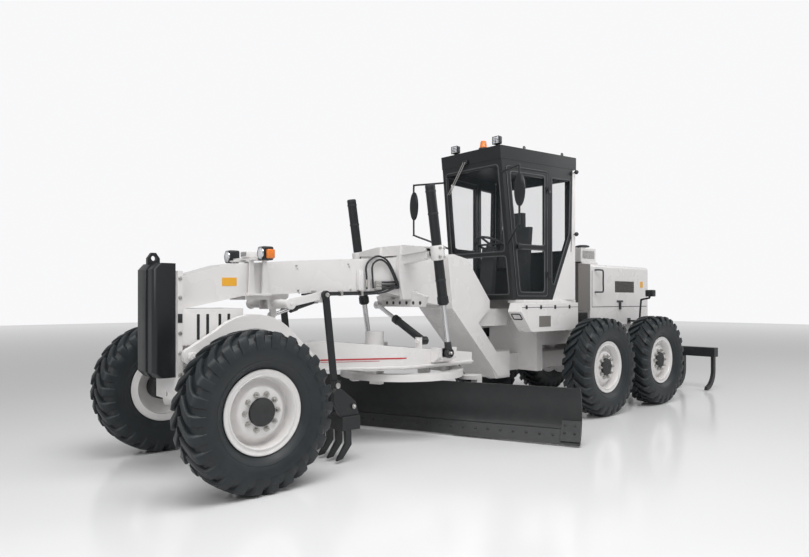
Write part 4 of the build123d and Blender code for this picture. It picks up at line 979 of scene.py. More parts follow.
corners = [(-3.811, 0.520, 3.250), (-3.70, 0.78, 3.250), (-3.635, 0.93, 3.250), (-3.630, 0.950, 3.230),
           (-3.630, 0.950, 3.0), (-3.630, 0.950, 2.56), (-3.635, 0.935, 2.525), (-3.76, 0.76, 2.44),
           (-3.921, 0.540, 2.330)]
arm = tube(smooth_path([at(*p) for p in corners], 6), 0.013, 12)
t = np.linspace(0, 2 * np.pi, 48, endpoint=False)
rows = [[at(MIRROR[0] + depth, MIRROR[1] + MIRROR_HALF[0] * size * math.cos(a),
            MIRROR[2] + MIRROR_HALF[1] * size * math.sin(a)) for a in t]
        for size, depth in ((0.90, -0.018), (0.985, -0.015), (1.0, -0.006), (0.985, 0.006), (0.90, 0.014),
                            (0.6, 0.0185))]
piece("oval_mirrors", "rear_frame", "black_paint", BLACK, both(arm, capped(np.array(rows))), replaces=("mirrors",))
silver = plate([at(MIRROR[0] - 0.0185, MIRROR[1] + 0.068 * math.cos(a), MIRROR[2] + 0.180 * math.sin(a)) for a in t],
               (-0.0012, 0, 0))
piece("mirror_faces", "rear_frame", "bright_rod", CHROME, both(silver))

# %% [markdown]
# A work lamp is a moulded box with a round opening in its face. The ring round that
# opening is the same holed plate as the lifting eye, turned to face ahead. The tail
# lamps sit on bent tubes that stand out from the hood.

# %% Roof and tail lamps
LAMP_FACE = -3.7975

heads = []
for y in (-300, 440):
    heads.append(soft_block((-3860, -3797), (y - 58, y + 58), (3626, 3726), 14))
    heads.append(block((-3850, -3820), (y - 22, y + 22), (3600.5, 3630)))
    ring = holed([(y - 58, 3626), (y + 58, 3626), (y + 58, 3726), (y - 58, 3726)], (y, 3676), 40, (0, 7))
    heads.append(facing(ring, LAMP_FACE, 1))
bracket = [(0.5505, 1.260), (0.66, 1.260), (0.715, 1.262), (0.736, 1.285), (0.748, 1.42), (0.762, 1.575),
           (0.775, 1.602), (0.905, 1.628)]
tail = [tube(smooth_path([at(-6.990, y, z) for y, z in bracket], 6), 0.015, 12),
        soft_block((-7040, -6940), (855, 985), (1650, 1755), 14),
        block((-7002, -6978), (893, 917), (1628, 1651)), block((-7035, -6945), (550.5, 562), (1215, 1305))]
piece("lamp_bodies", "rear_frame", "black_paint", BLACK, *heads, both(*tail), replaces=("work_lamps",), bevel=0.003)

# %% [markdown]
# Four small lifting eyes stand along the roof's edges. Each is one outline with a
# hole, seven millimetres either side of the roof's side line.

# %% Roof eyes
eyes = []
for x, half in ((-4260, 541.3), (-4980, 646)):
    ring = [(x - 24, 3599), (x + 24, 3599), (x + 24, 3636), (x + 14, 3654), (x - 14, 3654), (x - 24, 3636)]
    eyes.append(holed(ring, (x, 3634), 12, (half - 7, half + 7), 24))
piece("roof_eyes", "rear_frame", "black_paint", BLACK, both(*eyes), bevel=0.002)

# %% [markdown]
# The hood breathes through louvres: slanting blades in front of a dark sheet. One
# blade's section repeated up the opening makes the side grilles, and the same set
# turned to face back closes the radiator.

# %% Hood grilles
HOOD_REAR = -7.674

side_louvres = louvres((-7165, -6565), (524, 546), (1715, 1895))
piece("hood_louvres", "rear_frame", "black_paint", BLACK, both(side_louvres), replaces=("hood_grilles",))
rear = facing(louvres((-400, 400), (0, 22), (1330, 2000)), HOOD_REAR, -1)
piece("rear_louvres", "rear_frame", "black_paint", BLACK, rear)

# %% [markdown]
# Between cab and hood stands a grey column of boxes, and on the hood the intake's box
# under its rain cap. Both are folded sheet, so blocks with a wide bevel are enough.

# %% Intake and column
x, y = (-6170, -5760), (160, 450)
box = [block(x, y, (2137.5, 2385)), block((x[0] - 30, x[1]), (y[0] - 20, y[1] + 20), (2137.5, 2180))]
stem = bar((-6035, 300, 2384), (-6035, 300, 2420), 50)
piece("intake_box", "rear_frame", "white_paint", WHITE, *box, stem, replaces=("air_intake",), bevel=0.006)
column = [block((-5745, -5430), (-620, 620), (1445, 2130)), block((-5745, -5430), (-430, 430), (1205, 1446))]
side = [block((-5560, -5250), (431, 700), (1175, 1440)), block((-5560, -5435), (431, 700), (1439, 1446))]
piece("cooler_column", "rear_frame", "grey_paint", GREY, *column, both(*side), replaces=("step_towers",),
      bevel=0.006)
seam = both(block((-7580, -5910), (550.1, 550.9), (1486, 1496)),
            block((-5910, -5900), (550.1, 550.9), (1486, 2040)))
piece("hood_seams", "rear_frame", "black_paint", HOSE_AND_HOLE_SHADE, seam)

# %% [markdown]
# The tank boxes under the cab are cut away below at the front. One outline from the
# side gives that slope, two blocks close them against the cab, and a thin dark line
# stands for the gap under the lid.

# %% Tank boxes
outline = [(-5240, 1175), (-5240, 1560), (-3985, 1560), (-3935, 1444), (-4144, 1198), (-4200, 1175)]
boxes = [cut_y(outline, (522, 740)), block((-5240, -4050), (430.5, 700), (1559, 1599.5)),
         block((-5240, -4760), (430.5, 523), (1400, 1560))]
piece("tank_boxes", "rear_frame", "white_paint", WHITE, both(*boxes), replaces=("side_tanks",), bevel=0.008)
groove = cut_y([(-5240.5, 1496), (-5240.5, 1503), (-3961, 1503), (-3958, 1496)], (739.6, 740.5))
piece("tank_grooves", "rear_frame", "black_paint", HOSE_AND_HOLE_SHADE, both(groove))

# %% [markdown]
# ## The beam and the lamps
#
# Square amber markers and small bolt heads sit on the beam's flat sides. The bolts
# are turned caps and six-sided nuts, laid on the beam's face and mirrored.

# %% Markers and studs on the beam
BEAM_FACE = 0.150


def side_sheet(y, corners):
    """A thin sheet on a side face at y, from its (x, z) corners."""
    return plate([at(x, y, z) for x, z in corners], (0, 0.0012, 0))


marker = side_sheet(BEAM_FACE + 0.0004, [(-0.125, 1.732), (-0.125, 1.811), (-0.277, 1.815), (-0.277, 1.734)])
piece("beam_markers", "front_frame", "white_paint", AMBER, both(marker))

studs = []
for x, z in ((-0.95, 1.955), (-1.62, 1.995), (-2.18, 2.035), (-0.97, 1.70), (-1.65, 1.715)):
    studs.append(disc(at(x, BEAM_FACE, z), "Y", 0.011, 0.012))
    studs.append(disc(at(x - 0.012, BEAM_FACE, z - 0.03), "Y", 0.007, 0.009))
for z in (1.79, 1.62, 1.30, 1.12, 0.93):
    studs.append(nut(at(0.322, 0.25, z), "Y", 0.028, 0.014))
piece("beam_studs", "front_frame", "white_paint", STEEL, both(*studs))

# Painted shade: a dark patch on the frame's side stands in for the shade inside its slots.
slot_shade_patch = slab(at(0.302, 0.2495, 1.395), at(0.345, 0.254, 1.475), 0.002)
piece("nose_slots", "front_frame", "black_paint", DARK, both(slot_shade_patch))

# %% [markdown]
# A headlamp is a black moulded shell, a bright ring and a slightly domed glass, with
# an orange side lens. The shell is a slab with a wide radius, and the ring and the
# glass are turned on one axis so that they fit each other.

# %% Headlamps
LAMP_X, LAMP_Y = -0.490, 0.345
LAMP_CENTRE = at(LAMP_X + 0.0655, LAMP_Y, 2.048)

shell = slab(at(LAMP_X - 0.049, LAMP_Y - 0.066, 1.981), at(LAMP_X + 0.0645, LAMP_Y + 0.0615, 2.114), 0.018, 4)
piece("headlamp_shells", "front_frame", "black_paint", BLACK, both(shell))
glass_face = turned([(0, 0.012), (0.03, 0.010), (0.046, 0.004), (0.050, 0.0), (0.050, -0.004), (0, -0.004)],
                    LAMP_CENTRE, "X", 32)
ring = turned([(0.050, -0.002), (0.050, 0.005), (0.057, 0.006), (0.058, -0.002), (0.050, -0.002)],
              LAMP_CENTRE, "X", 32)
piece("headlamp_glasses", "front_frame", "bright_rod", CLEAR, both(glass_face))
piece("headlamp_rings", "front_frame", "bright_rod", CHROME, both(ring))
side_lens = slab(at(LAMP_X - 0.034, LAMP_Y + 0.0625, 1.996), at(LAMP_X + 0.044, LAMP_Y + 0.109, 2.084), 0.012, 4)
piece("side_lenses", "front_frame", "bright_rod", ORANGE, both(side_lens))
# Painted shade: five dark strips on the lamp case's face stand in for the shade inside its slots.
slots = [slab(at(LAMP_X + 0.0595, y - 0.004, 2.034), at(LAMP_X + 0.0625, y + 0.004, 2.076), 0.001)
         for y in (-0.045, -0.022, 0.0, 0.022, 0.045)]
piece("lamp_case_slots", "front_frame", "black_paint", DARK, *slots)

# %% [markdown]
# Steel lines run along the beam's left side from a block of fittings. Each is a
# smooth curve through a few places on a plane just outside the beam.

# %% Steel lines on the beam
LINE_PLANE = 0.175
LOWER_LINES = [(-2.02, 1.80), (-2.02, 1.765), (-2.02, 1.73)]

block_plate = slab(at(-1.795, BEAM_FACE, 1.705), at(-1.735, BEAM_FACE + 0.05, 1.93), 0.004)
piece("line_block", "front_frame", "white_paint", WHITE, block_plate)
runs = [
    [(-1.865, 1.72), (-1.862, 1.86), (-1.855, 1.97), (-1.91, 2.05), (-2.03, 2.10), (-2.16, 2.06), (-2.25, 1.95),
     (-2.31, 1.84), (-2.36, 1.76)],
    [(-1.945, 1.73), (-1.935, 1.86), (-1.93, 1.97), (-1.97, 2.03), (-2.06, 2.06), (-2.15, 2.02), (-2.22, 1.93),
     (-2.28, 1.82), (-2.33, 1.75)],
    [(-1.0, 1.655), (-1.3, 1.672), (-1.6, 1.680), (-1.85, 1.685), (-2.05, 1.70), (-2.18, 1.74), (-2.33, 1.79)],
    [(-1.02, 1.638), (-1.3, 1.652), (-1.6, 1.660), (-1.87, 1.665), (-2.08, 1.682), (-2.2, 1.715), (-2.33, 1.76)]]
lines = []
for i, run in enumerate(runs):
    away = LINE_PLANE + (0.016 if i % 2 else 0)
    lines.append(tube(smooth_path([at(x, away, z) for x, z in run], 5), 0.011))
for x, z in LOWER_LINES:
    lines.append(tube(smooth_path([at(x, LINE_PLANE, z), at(x - 0.2, LINE_PLANE, z + 0.004),
                                   at(x - 0.32, LINE_PLANE, z + 0.012)], 4), 0.012))
piece("beam_lines", "front_frame", "black_paint", HOSE_AND_HOLE_SHADE, *lines)
fittings = []
for x, z in ((-1.865, 1.74), (-1.945, 1.75)):
    fittings.append(turned([(0, 0.09), (0.013, 0.088), (0.017, 0.07), (0.017, 0.0), (0, 0)],
                           at(x, LINE_PLANE, z), "Z", 12))
for x, z in LOWER_LINES:
    fittings.append(turned([(0, 0.03), (0.018, 0.03), (0.018, -0.05), (0, -0.05)], at(x, LINE_PLANE, z), "X", 6))
clips = [slab(at(x - 0.015, BEAM_FACE, 1.642), at(x + 0.015, LINE_PLANE + 0.03, 1.70), 0.004)
         for x in (-1.15, -1.5, -1.78)]
piece("line_fittings", "front_frame", "bright_rod", STEEL, *fittings, *clips)

# %% [markdown]
# ## Cylinders
#
# Each lift barrel sits in a white clamp on its trunnion; its rod ends in a black
# eye. The barrel leans, so places on it are found along its own axis.

# %% Lift cylinders
LIFT_TOP = np.array([-2.447, 0.720, 2.130])
LIFT_EYE = np.array([-2.630, 0.720, 0.990])
LIFT_AXIS = (LIFT_EYE - LIFT_TOP) / np.linalg.norm(LIFT_EYE - LIFT_TOP)


def along_lift(profile):
    """A profile of (radius, along) turned round the leaning cylinder, measured down from the trunnion."""
    points, faces = turned(profile, (0, 0, 0), "Z", 32)
    x_axis = np.cross([0, 1, 0], LIFT_AXIS)
    x_axis /= np.linalg.norm(x_axis)
    y_axis = np.cross(LIFT_AXIS, x_axis)
    return points[:, :1] * x_axis + points[:, 1:2] * y_axis + points[:, 2:] * LIFT_AXIS + at(*LIFT_TOP), faces


clamp = along_lift([(0.058, -0.085), (0.076, -0.080), (0.079, -0.07), (0.079, 0.07), (0.076, 0.080),
                    (0.058, 0.085)])
clamp_bolts = [nut(at(*(LIFT_TOP + [dx, 0.068, dz])), "Y", 0.034, 0.018)
               for dx, dz in ((0.03, 0.05), (-0.03, 0.05), (0.03, -0.05), (-0.03, -0.05))]
piece("lift_clamps", "lift_barrel", "white_paint", WHITE, both(clamp))
piece("lift_clamp_bolts", "lift_barrel", "bright_rod", STEEL, both(*clamp_bolts))
gland = along_lift([(0.033, 0.581), (0.050, 0.581), (0.052, 0.588), (0.050, 0.596), (0.033, 0.596)])
bands = [along_lift([(0.0575, d), (0.0605, d + 0.002), (0.0605, d + 0.02), (0.0575, d + 0.022)])
         for d in (-0.70, -0.45, 0.30)]
tips = along_lift([(0, -0.766), (0.045, -0.764), (0.055, -0.756), (0.0575, -0.745), (0.0575, -0.735)])
piece("lift_glands", "lift_barrel", "black_paint", DARK, both(gland), both(tips), both(*bands))

# %% [markdown]
# The rod ends in an eye that turns on a pin in the drawbar. The eye is one closed
# section turned about the pin, so its lips are rounded as a forging's are. The pin's
# face rides with the drawbar, because it doesn't turn with the rod.

# %% Lift eyes
eye = turned([(0.0375, -0.034), (0.050, -0.034), (0.057, -0.022), (0.059, 0.0), (0.057, 0.022), (0.050, 0.034),
              (0.0375, 0.034)], at(*LIFT_EYE), "Y", 32)
neck = along_lift([(0.0325, 1.02), (0.040, 1.03), (0.042, 1.105), (0.0325, 1.115)])
piece("lift_eyes", "lift_rod", "black_paint", DARK, both(eye), both(neck))
pin_face = turned([(0, 0.020), (0.012, 0.019), (0.019, 0.012), (0.0195, 0.0), (0, 0)],
                  at(-2.630, 0.752, 0.990), "Y", 20)
piece("lift_pin_faces", "drawbar", "bright_rod", STEEL, both(pin_face))

# %% [markdown]
# ## Drawbar, blade and scarifier
#
# A red stripe is painted along each leg of the drawbar. It could be drawn in the
# paint's own maths, but a strip a millimetre thick has a clean edge and needs no mask.

# %% Drawbar stripe
STRIPE = [(-1.262, 0.1335), (-2.050, 0.560)]
PROUD = 0.0012

run = np.array(STRIPE[1]) - np.array(STRIPE[0])
outward = np.array([run[1], -run[0]]) / np.linalg.norm(run)
stripes = []
for low, high, reach in ((0.945, 0.961, 1.0), (0.926, 0.931, 0.72)):
    end = np.array(STRIPE[0]) + run * reach
    corners = []
    for (x, y), z in ((STRIPE[0], low), (end, low), (end, high), (STRIPE[0], high)):
        corners.append(at(x + outward[0] * PROUD, y + outward[1] * PROUD, z))
    stripes.append(plate(corners, (outward[0] * 0.001, outward[1] * 0.001, 0)))
rear_stripe = plate([at(x, 0.5612, z) for x, z in ((-2.05, 0.945), (-2.12, 0.946), (-2.12, 0.958), (-2.05, 0.961))],
                    (0, 0.001, 0))
piece("drawbar_stripes", "drawbar", None, RED, both(*stripes, rear_stripe))

# %% [markdown]
# The moldboard is a long sheet rolled to an arc. It is drawn once in its own axes,
# ahead of, along and above the blade, and a small function turns that drawing to the
# angle at which the blade hangs.

# %% Places on the blade
BLADE_TURN = math.radians(22.8)
CIRCLE_X = -2.55
BLADE_OFFSET = 0.03078
BOLT_HEAD = [(0, 0.006), (0.010, 0.0055), (0.015, 0.002), (0.015, -0.004), (0, -0.004)]


def on_blade(u, v, z):
    """A place given ahead of, along and above the blade, turned to the blade's angle."""
    v = v + BLADE_OFFSET
    return at(CIRCLE_X + u * math.cos(BLADE_TURN) - v * math.sin(BLADE_TURN),
              u * math.sin(BLADE_TURN) + v * math.cos(BLADE_TURN), z)


def blade_bolt(u, v, z, lean):
    """A low round bolt head lying on the blade's face, which leans back by an angle."""
    points, faces = turned(BOLT_HEAD, (0, 0, 0), "X", 14)
    x, y, z0 = points.T
    leaned = np.stack([x * math.cos(lean) - z0 * math.sin(lean), y, x * math.sin(lean) + z0 * math.cos(lean)], -1)
    turned_round = np.stack([leaned[:, 0] * math.cos(BLADE_TURN) - leaned[:, 1] * math.sin(BLADE_TURN),
                             leaned[:, 0] * math.sin(BLADE_TURN) + leaned[:, 1] * math.cos(BLADE_TURN),
                             leaned[:, 2]], -1)
    return turned_round + on_blade(u, v, z), faces


def blade_bar(outline, v):
    """A (u, z) outline in millimetres carried along the blade from v[0] to v[1]."""
    front = [on_blade(u / 1000, v[0] / 1000, z / 1000) for u, z in outline]
    return plate(front, on_blade(0, v[1] / 1000, 0) - on_blade(0, v[0] / 1000, 0))


def arc_through(first, second, third):
    """Points on the circle through three places, from the first to the last."""
    (ax, ay), (bx, by), (cx, cy) = first, second, third
    d = 2 * (ax * (by - cy) + bx * (cy - ay) + cx * (ay - by))
    x = ((ax ** 2 + ay ** 2) * (by - cy) + (bx ** 2 + by ** 2) * (cy - ay) + (cx ** 2 + cy ** 2) * (ay - by)) / d
    y = ((ax ** 2 + ay ** 2) * (cx - bx) + (bx ** 2 + by ** 2) * (ax - cx) + (cx ** 2 + cy ** 2) * (bx - ax)) / d
    start, turn = math.atan2(ay - y, ax - x), math.atan2(cy - y, cx - x)
    t = np.unwrap([start, turn])
    t = np.linspace(t[0], t[1], 25)
    radius = math.hypot(ax - x, ay - y)
    return list(zip(x + radius * np.cos(t), y + radius * np.sin(t)))


print("blade turned by", round(math.degrees(BLADE_TURN), 1), "degrees")

# %% [markdown]
# The sheet is two arcs, front and back, carried along the blade's length. Brackets
# and two round rails on its back slide in the carrier. Rolling the sheet with a
# modifier would work too, but an arc through three measured places is exact.

# %% Blade
BLADE_HALF = 2100

front = arc_through((0, 20), (-120, 299), (-10, 640))
back = arc_through((-35, 640), (-145, 299), (-25, 20))
shell = blade_bar(front + back, (-BLADE_HALF, BLADE_HALF))
rails = [tube([on_blade(-0.215, -1.32, z), on_blade(-0.215, 1.32, z)], 0.024, 20) for z in (0.18, 0.50)]
bracket = [(-100, 110), (-245, 150), (-245, 530), (-110, 545), (-140, 420), (-143, 299), (-130, 180)]
brackets = [blade_bar(bracket, (v - 20, v + 20)) for v in (-1300, 0, 1300)]
piece("blade_shell", "moldboard", "black_paint", BLACK, shell, *rails, *brackets, replaces=("moldboard",),
      bevel=0.003)

# %% [markdown]
# The cutting edge and the two end bits are hard steel strips that wear and are
# changed, so they are bolted on. The heads lie in a row along the edge, each laid
# back with the face that it holds.

# %% Cutting edge and its bolts
EDGE_LEAN = 0.45

edge = blade_bar([(-12, 20), (14, 20), (-66, 172), (-100, 176)], (-2099, 2099))
bit = [(-14, 60), (20, 60), (-40, 190), (-95, 270), (-112, 262), (-90, 180)]
piece("cutting_edge", "moldboard", "black_paint", BLACK, edge, blade_bar(bit, (1885, BLADE_HALF)),
      blade_bar(bit, (-BLADE_HALF, -1885)), bevel=0.003)
heads = []
for side in (1, -1):
    for v, u, z in ((2.04, -0.014, 0.15), (1.93, -0.014, 0.15), (2.04, -0.060, 0.222), (1.93, -0.060, 0.222)):
        heads.append(blade_bolt(u, side * v, z, EDGE_LEAN))
for v in np.linspace(-1.8, 1.8, 25):
    heads.append(blade_bolt(-0.030, v, 0.115, EDGE_LEAN))
piece("blade_bolts", "moldboard", "black_paint", DARK, *heads)

# %% [markdown]
# The scarifier's pins show as round caps and nuts, and each tooth is held by a small
# wedge. They tell the eye where things turn, so each is laid on its own pin's line and
# rides with the body that holds the pin.

# %% Scarifier pins
boss = merged(disc(at(-1.215, 0.782, 0.545), "Y", 0.024, 0.010), nut(at(-1.215, 0.790, 0.545), "Y", 0.026, 0.012))
link_head = merged(disc(at(-1.240, 0.476, 0.715), "Y", 0.030, 0.016),
                   nut(at(-1.212, 0.476, 0.660), "Y", 0.028, 0.018), nut(at(-1.255, 0.476, 0.650), "Y", 0.028, 0.018))
piece("scarifier_nuts", "scarifier", "bright_rod", STEEL, both(boss, link_head))
caps = [slab(at(-1.297, y - 0.025, 0.345), at(-1.2895, y + 0.025, 0.425), 0.003)
        for y in np.linspace(-0.76, 0.76, TOOTH_COUNT)]
piece("rack_wedges", "scarifier", "black_paint", BLACK, *caps)
shaft_cap = merged(disc(at(-0.730, 0.396, 1.560), "Y", 0.058, 0.014),
                   disc(at(-0.730, 0.408, 1.560), "Y", 0.014, 0.008))
end_cap = disc(at(-1.130, 0.446, 1.650), "Y", 0.024, 0.014)
piece("lever_caps", "scarifier_lever", "white_paint", WHITE, both(shaft_cap))
piece("lever_end_caps", "scarifier_lever", "bright_rod", STEEL, both(end_cap))
arm_cap = merged(disc(at(0.260, 0.3905, 1.100), "Y", 0.039, 0.012),
                 disc(at(0.260, 0.402, 1.100), "Y", 0.010, 0.006))
piece("arm_pin_caps", "front_frame", "white_paint", WHITE, both(arm_cap))

# %% [markdown]
# ## The cab
#
# The side wall is a slanted upright plane and the windscreen a leaning one. Both
# get a small function that places a flat drawing on them, a little way out.

# %% Cab planes
CAB_FRONT, CAB_HALF, SILL = -4.010, 0.560, 1.6
WALL_ALONG, WALL_ACROSS = 0.98958, 0.14379
SCREEN_UP, SCREEN_BACK = 0.99317, 0.11669


def on_wall(s, z, out):
    """A place on the left wall: s back along it, z up, out from its face."""
    return at(CAB_FRONT - WALL_ALONG * s + WALL_ACROSS * out, CAB_HALF + WALL_ACROSS * s + WALL_ALONG * out, z)


def on_screen(y, rise, out):
    """A place on the windscreen: y to the left, rise up its slope, out from its face."""
    return at(CAB_FRONT + SCREEN_BACK * rise + SCREEN_UP * out, y, SILL + SCREEN_UP * rise - SCREEN_BACK * out)


def front_edge(z):
    """How far the wall's leaning front edge lies ahead of the sill's corner at a height."""
    return -0.215 * (z - SILL) / 1.83


def seal(corners, place, out, radius=0.0075, reach=0.05):
    """A rubber bead round a pane."""
    return tube([place(a, b, out) for a, b in loop(corners, reach)], radius, 8, closed=True)


print("wall slants by", round(math.degrees(math.atan2(WALL_ACROSS, WALL_ALONG)), 1), "degrees")

# %% [markdown]
# A rubber bead runs round every pane. It is a thin tube round a polygon whose corners
# are rounded, as the real extrusion bends round its corners. The beads of a door ride
# with that door, and the rest stay on the cab.

# %% Window seals and door locks
SEAL = rubber("window_seal", (0.07, 0.074, 0.078), 0.42, 0.0004)

low, mid, high = 1.70, 2.30, 3.28
door_panes = [
    [(front_edge(low) + 0.13, low), (0.57, low), (0.57, mid - 0.03), (front_edge(mid) + 0.13, mid - 0.03)],
    [(front_edge(mid) + 0.13, mid + 0.03), (0.57, mid + 0.03), (0.57, high), (front_edge(high) + 0.13, high)]]
door_edge = [(front_edge(1.65) + 0.075, 1.65), (0.627, 1.65), (0.627, 3.345), (front_edge(3.345) + 0.075, 3.345)]
beads = [seal(pane, on_wall, 0.002) for pane in door_panes] + [seal(door_edge, on_wall, 0.001, 0.005, 0.04)]
knob, faces = slab((-0.03, 0.0, -0.05), (0.03, 0.012, 0.05), 0.004)
knob = (knob + on_wall(0.10, 2.30, 0.0), faces)
piece("door_seals_left", "door_left", "black_paint", SEAL, *beads)
piece("door_lock_left", "door_left", "black_paint", DARK, knob)
piece("door_seals_right", "door_right", "black_paint", SEAL, *[mirrored(bead) for bead in beads])
piece("door_lock_right", "door_right", "black_paint", DARK, mirrored(knob))
quarter = [(0.71, 1.83), (0.75, 1.80), (1.05, 2.52), (1.075, 3.27), (0.71, 3.27)]
bead = seal(quarter, on_wall, 0.002, 0.0075, 0.022)
screens = [[(-0.48, 0.64), (0.48, 0.64), (0.47, 1.773), (-0.47, 1.773)],
           [(-0.50, 0.07), (0.50, 0.07), (0.49, 0.58), (-0.49, 0.58)]]
screen_beads = [seal(pane, on_screen, 0.002, 0.008) for pane in screens]
piece("cab_seals", "rear_frame", "black_paint", SEAL, both(bead), *screen_beads)

# %% [markdown]
# The wiper is two thin arms side by side and a rubber blade that lies with the
# leaning glass. The blade is drawn upright and sheared by the glass's slope, which at
# so small an angle can't be told from turning it.

# %% Wiper
SCREEN_LEAN = 0.117

pivot, elbow = on_screen(-0.08, 1.88, 0.035), on_screen(-0.42, 1.48, 0.03)
arms = [tube([pivot + [0, d, 0], pivot + [0.002, d - 0.01, -0.02], elbow + [0, d, 0]], 0.006, 8)
        for d in (-0.018, 0.018)]
motor = slab(pivot - [0.03, 0.045, 0.03], pivot + [0.0, 0.045, 0.03], 0.008)
blade, faces = slab((-0.012, -0.012, -0.24), (0.006, 0.012, 0.24), 0.004)
tilt = blade[:, 2] * SCREEN_LEAN
blade = (blade + np.stack([tilt, 0 * tilt, 0 * tilt], -1) + elbow - [0.008, 0, 0], faces)
piece("wiper_arms", "rear_frame", "bright_rod", STEEL, *arms)
piece("wiper_blade", "rear_frame", "black_paint", HOSE_AND_HOLE_SHADE, blade, motor)

# %% [markdown]
# The rear quarter window is held by knobs on short stems. On the roof stand an orange
# beacon, turned in one profile with its steps, and the glasses and wire guards of the
# work lamps.

# %% Latches, beacon and lamp glasses
BEACON = at(-3.840, 0.190, 3.600)
GUARD_X = -3.787

knobs = []
for z in (3.39, 2.52):
    ball = turned([(0, 0.03), (0.016, 0.026), (0.028, 0.012), (0.030, 0.0), (0.028, -0.012), (0.016, -0.026),
                   (0, -0.03)], on_wall(1.155, z, 0.045), "Y", 20)
    knobs += [ball, tube([on_wall(1.155, z, 0.0), on_wall(1.155, z, 0.03)], 0.008, 8)]
    strap = [on_wall(a, b, 0.0008) for a, b in ((1.095, z - 0.03), (1.108, z - 0.03), (1.098, z - 0.25),
                                                (1.088, z - 0.25))]
    knobs.append(plate(strap, on_wall(0, 0, 0.002) - on_wall(0, 0, 0)))
piece("rear_latches", "rear_frame", "black_paint", DARK, both(*knobs))
beacon = turned([(0.0, 0.116), (0.030, 0.115), (0.0375, 0.108), (0.041, 0.085), (0.0415, 0.082), (0.0475, 0.050),
                 (0.048, 0.047), (0.0535, 0.022), (0.0535, 0.0205), (0.0, 0.0205)], BEACON, "Z", 40)
foot = turned([(0.0, 0.0215), (0.058, 0.0215), (0.064, 0.016), (0.065, 0.0), (0, 0)], BEACON, "Z", 40)
piece("beacon_dome", "rear_frame", "bright_rod", ORANGE, beacon)
piece("beacon_foot", "rear_frame", "black_paint", DARK, foot)
lamp_glasses, lamp_guards = [], []
for y in (-0.300, 0.440):
    lamp_glasses.append(slab(at(-3.7965, y - 0.0465, 3.636), at(-3.789, y + 0.0465, 3.716), 0.002))
    for dz in (0.655, 0.676, 0.697):
        lamp_guards.append(tube([at(GUARD_X, y - 0.05, 3 + dz), at(GUARD_X, y + 0.05, 3 + dz)], 0.0025, 6))
    lamp_guards.append(tube([at(GUARD_X, y, 3.632), at(GUARD_X, y, 3.72)], 0.0025, 6))
piece("work_lamp_glasses", "rear_frame", "bright_rod", CLEAR, *lamp_glasses)
piece("work_lamp_guards", "rear_frame", "black_paint", DARK, *lamp_guards)
tail = slab(at(-7.046, 0.868, 1.664), at(-7.0395, 0.972, 1.741), 0.002)
piece("tail_lenses", "rear_frame", "bright_rod", RED, both(tail))

# %% [markdown]
# ## Hood, column and tanks
#
# A bent grab rail, latches and plain yellow markers make the hood's long side read as
# sheet metal. Behind the openings lies expanded mesh: two families of diagonal strips
# over a dark back, which keeps its pattern in the model's own shape.

# %% Hood
rail = [(-5.987, 0.549, 2.051), (-5.995, 0.60, 2.052), (-6.06, 0.612, 2.050), (-6.112, 0.612, 2.03),
        (-6.114, 0.612, 1.88), (-6.114, 0.612, 1.735), (-6.07, 0.612, 1.718), (-5.995, 0.60, 1.716),
        (-5.987, 0.549, 1.716)]
rail = smooth_path([at(*p) for p in rail], 6)
piece("hood_handles", "rear_frame", "black_paint", BLACK, both(tube(rail, 0.012, 10)))
spot = side_sheet(0.5504, [(-7.36, 1.80), (-7.36, 1.90), (-7.45, 1.90), (-7.45, 1.80)])
piece("hood_markers", "rear_frame", "white_paint", AMBER, both(spot))
latch = merged(slab(at(-6.80, 0.5505, 1.563), at(-6.615, 0.562, 1.590), 0.004),
               slab(at(-6.74, 0.5505, 1.445), at(-6.68, 0.566, 1.575), 0.006))
piece("hood_latches", "rear_frame", "black_paint", DARK, both(latch))
mesh_panel = lattice(at(-7.165, 0.5475, 1.715), (0.6, 0, 0), (0, 0, 0.18), 0.030, 0.007)
piece("hood_mesh", "rear_frame", "grey_paint", GREY, both(mesh_panel))

# %% [markdown]
# The column's door and the intake's side carry the same mesh, at their own pitch. The
# rain cap over the intake is one turned profile with a rolled lip.

# %% Column and intake
low_mesh = lattice(at(-5.54, 0.7012, 1.20), (0.27, 0, 0), (0, 0, 0.215), 0.036, 0.010)
piece("column_mesh", "rear_frame", "grey_paint", GREY, both(low_mesh))
back_panel = slab(at(-5.54, 0.7001, 1.20), at(-5.27, 0.7012, 1.415), 0.0004)
piece("mesh_backs", "rear_frame", "black_paint", DARK, both(back_panel))
intake_mesh = lattice(at(-6.130, 0.4512, 2.225), (0.33, 0, 0), (0, 0, 0.12), 0.026, 0.007)
piece("intake_mesh", "rear_frame", "grey_paint", GREY, intake_mesh)
rain_cap = turned([(0, 0.034), (0.06, 0.031), (0.100, 0.020), (0.107, 0.010), (0.107, -0.001), (0, -0.001)],
                  at(-6.035, 0.300, 2.4145), "Z", 40)
piece("rain_cap", "rear_frame", "black_paint", DARK, rain_cap)

# %% [markdown]
# The tank box has a lid on four hinges, a grey plate on its side and a step slot cut
# in its sloping front. The slot is shown by its rolled edge: a tube round a rounded
# rectangle that lies in the sloping face.

# %% Tanks
SLOPE_X, SLOPE_Z = 0.209, 0.246

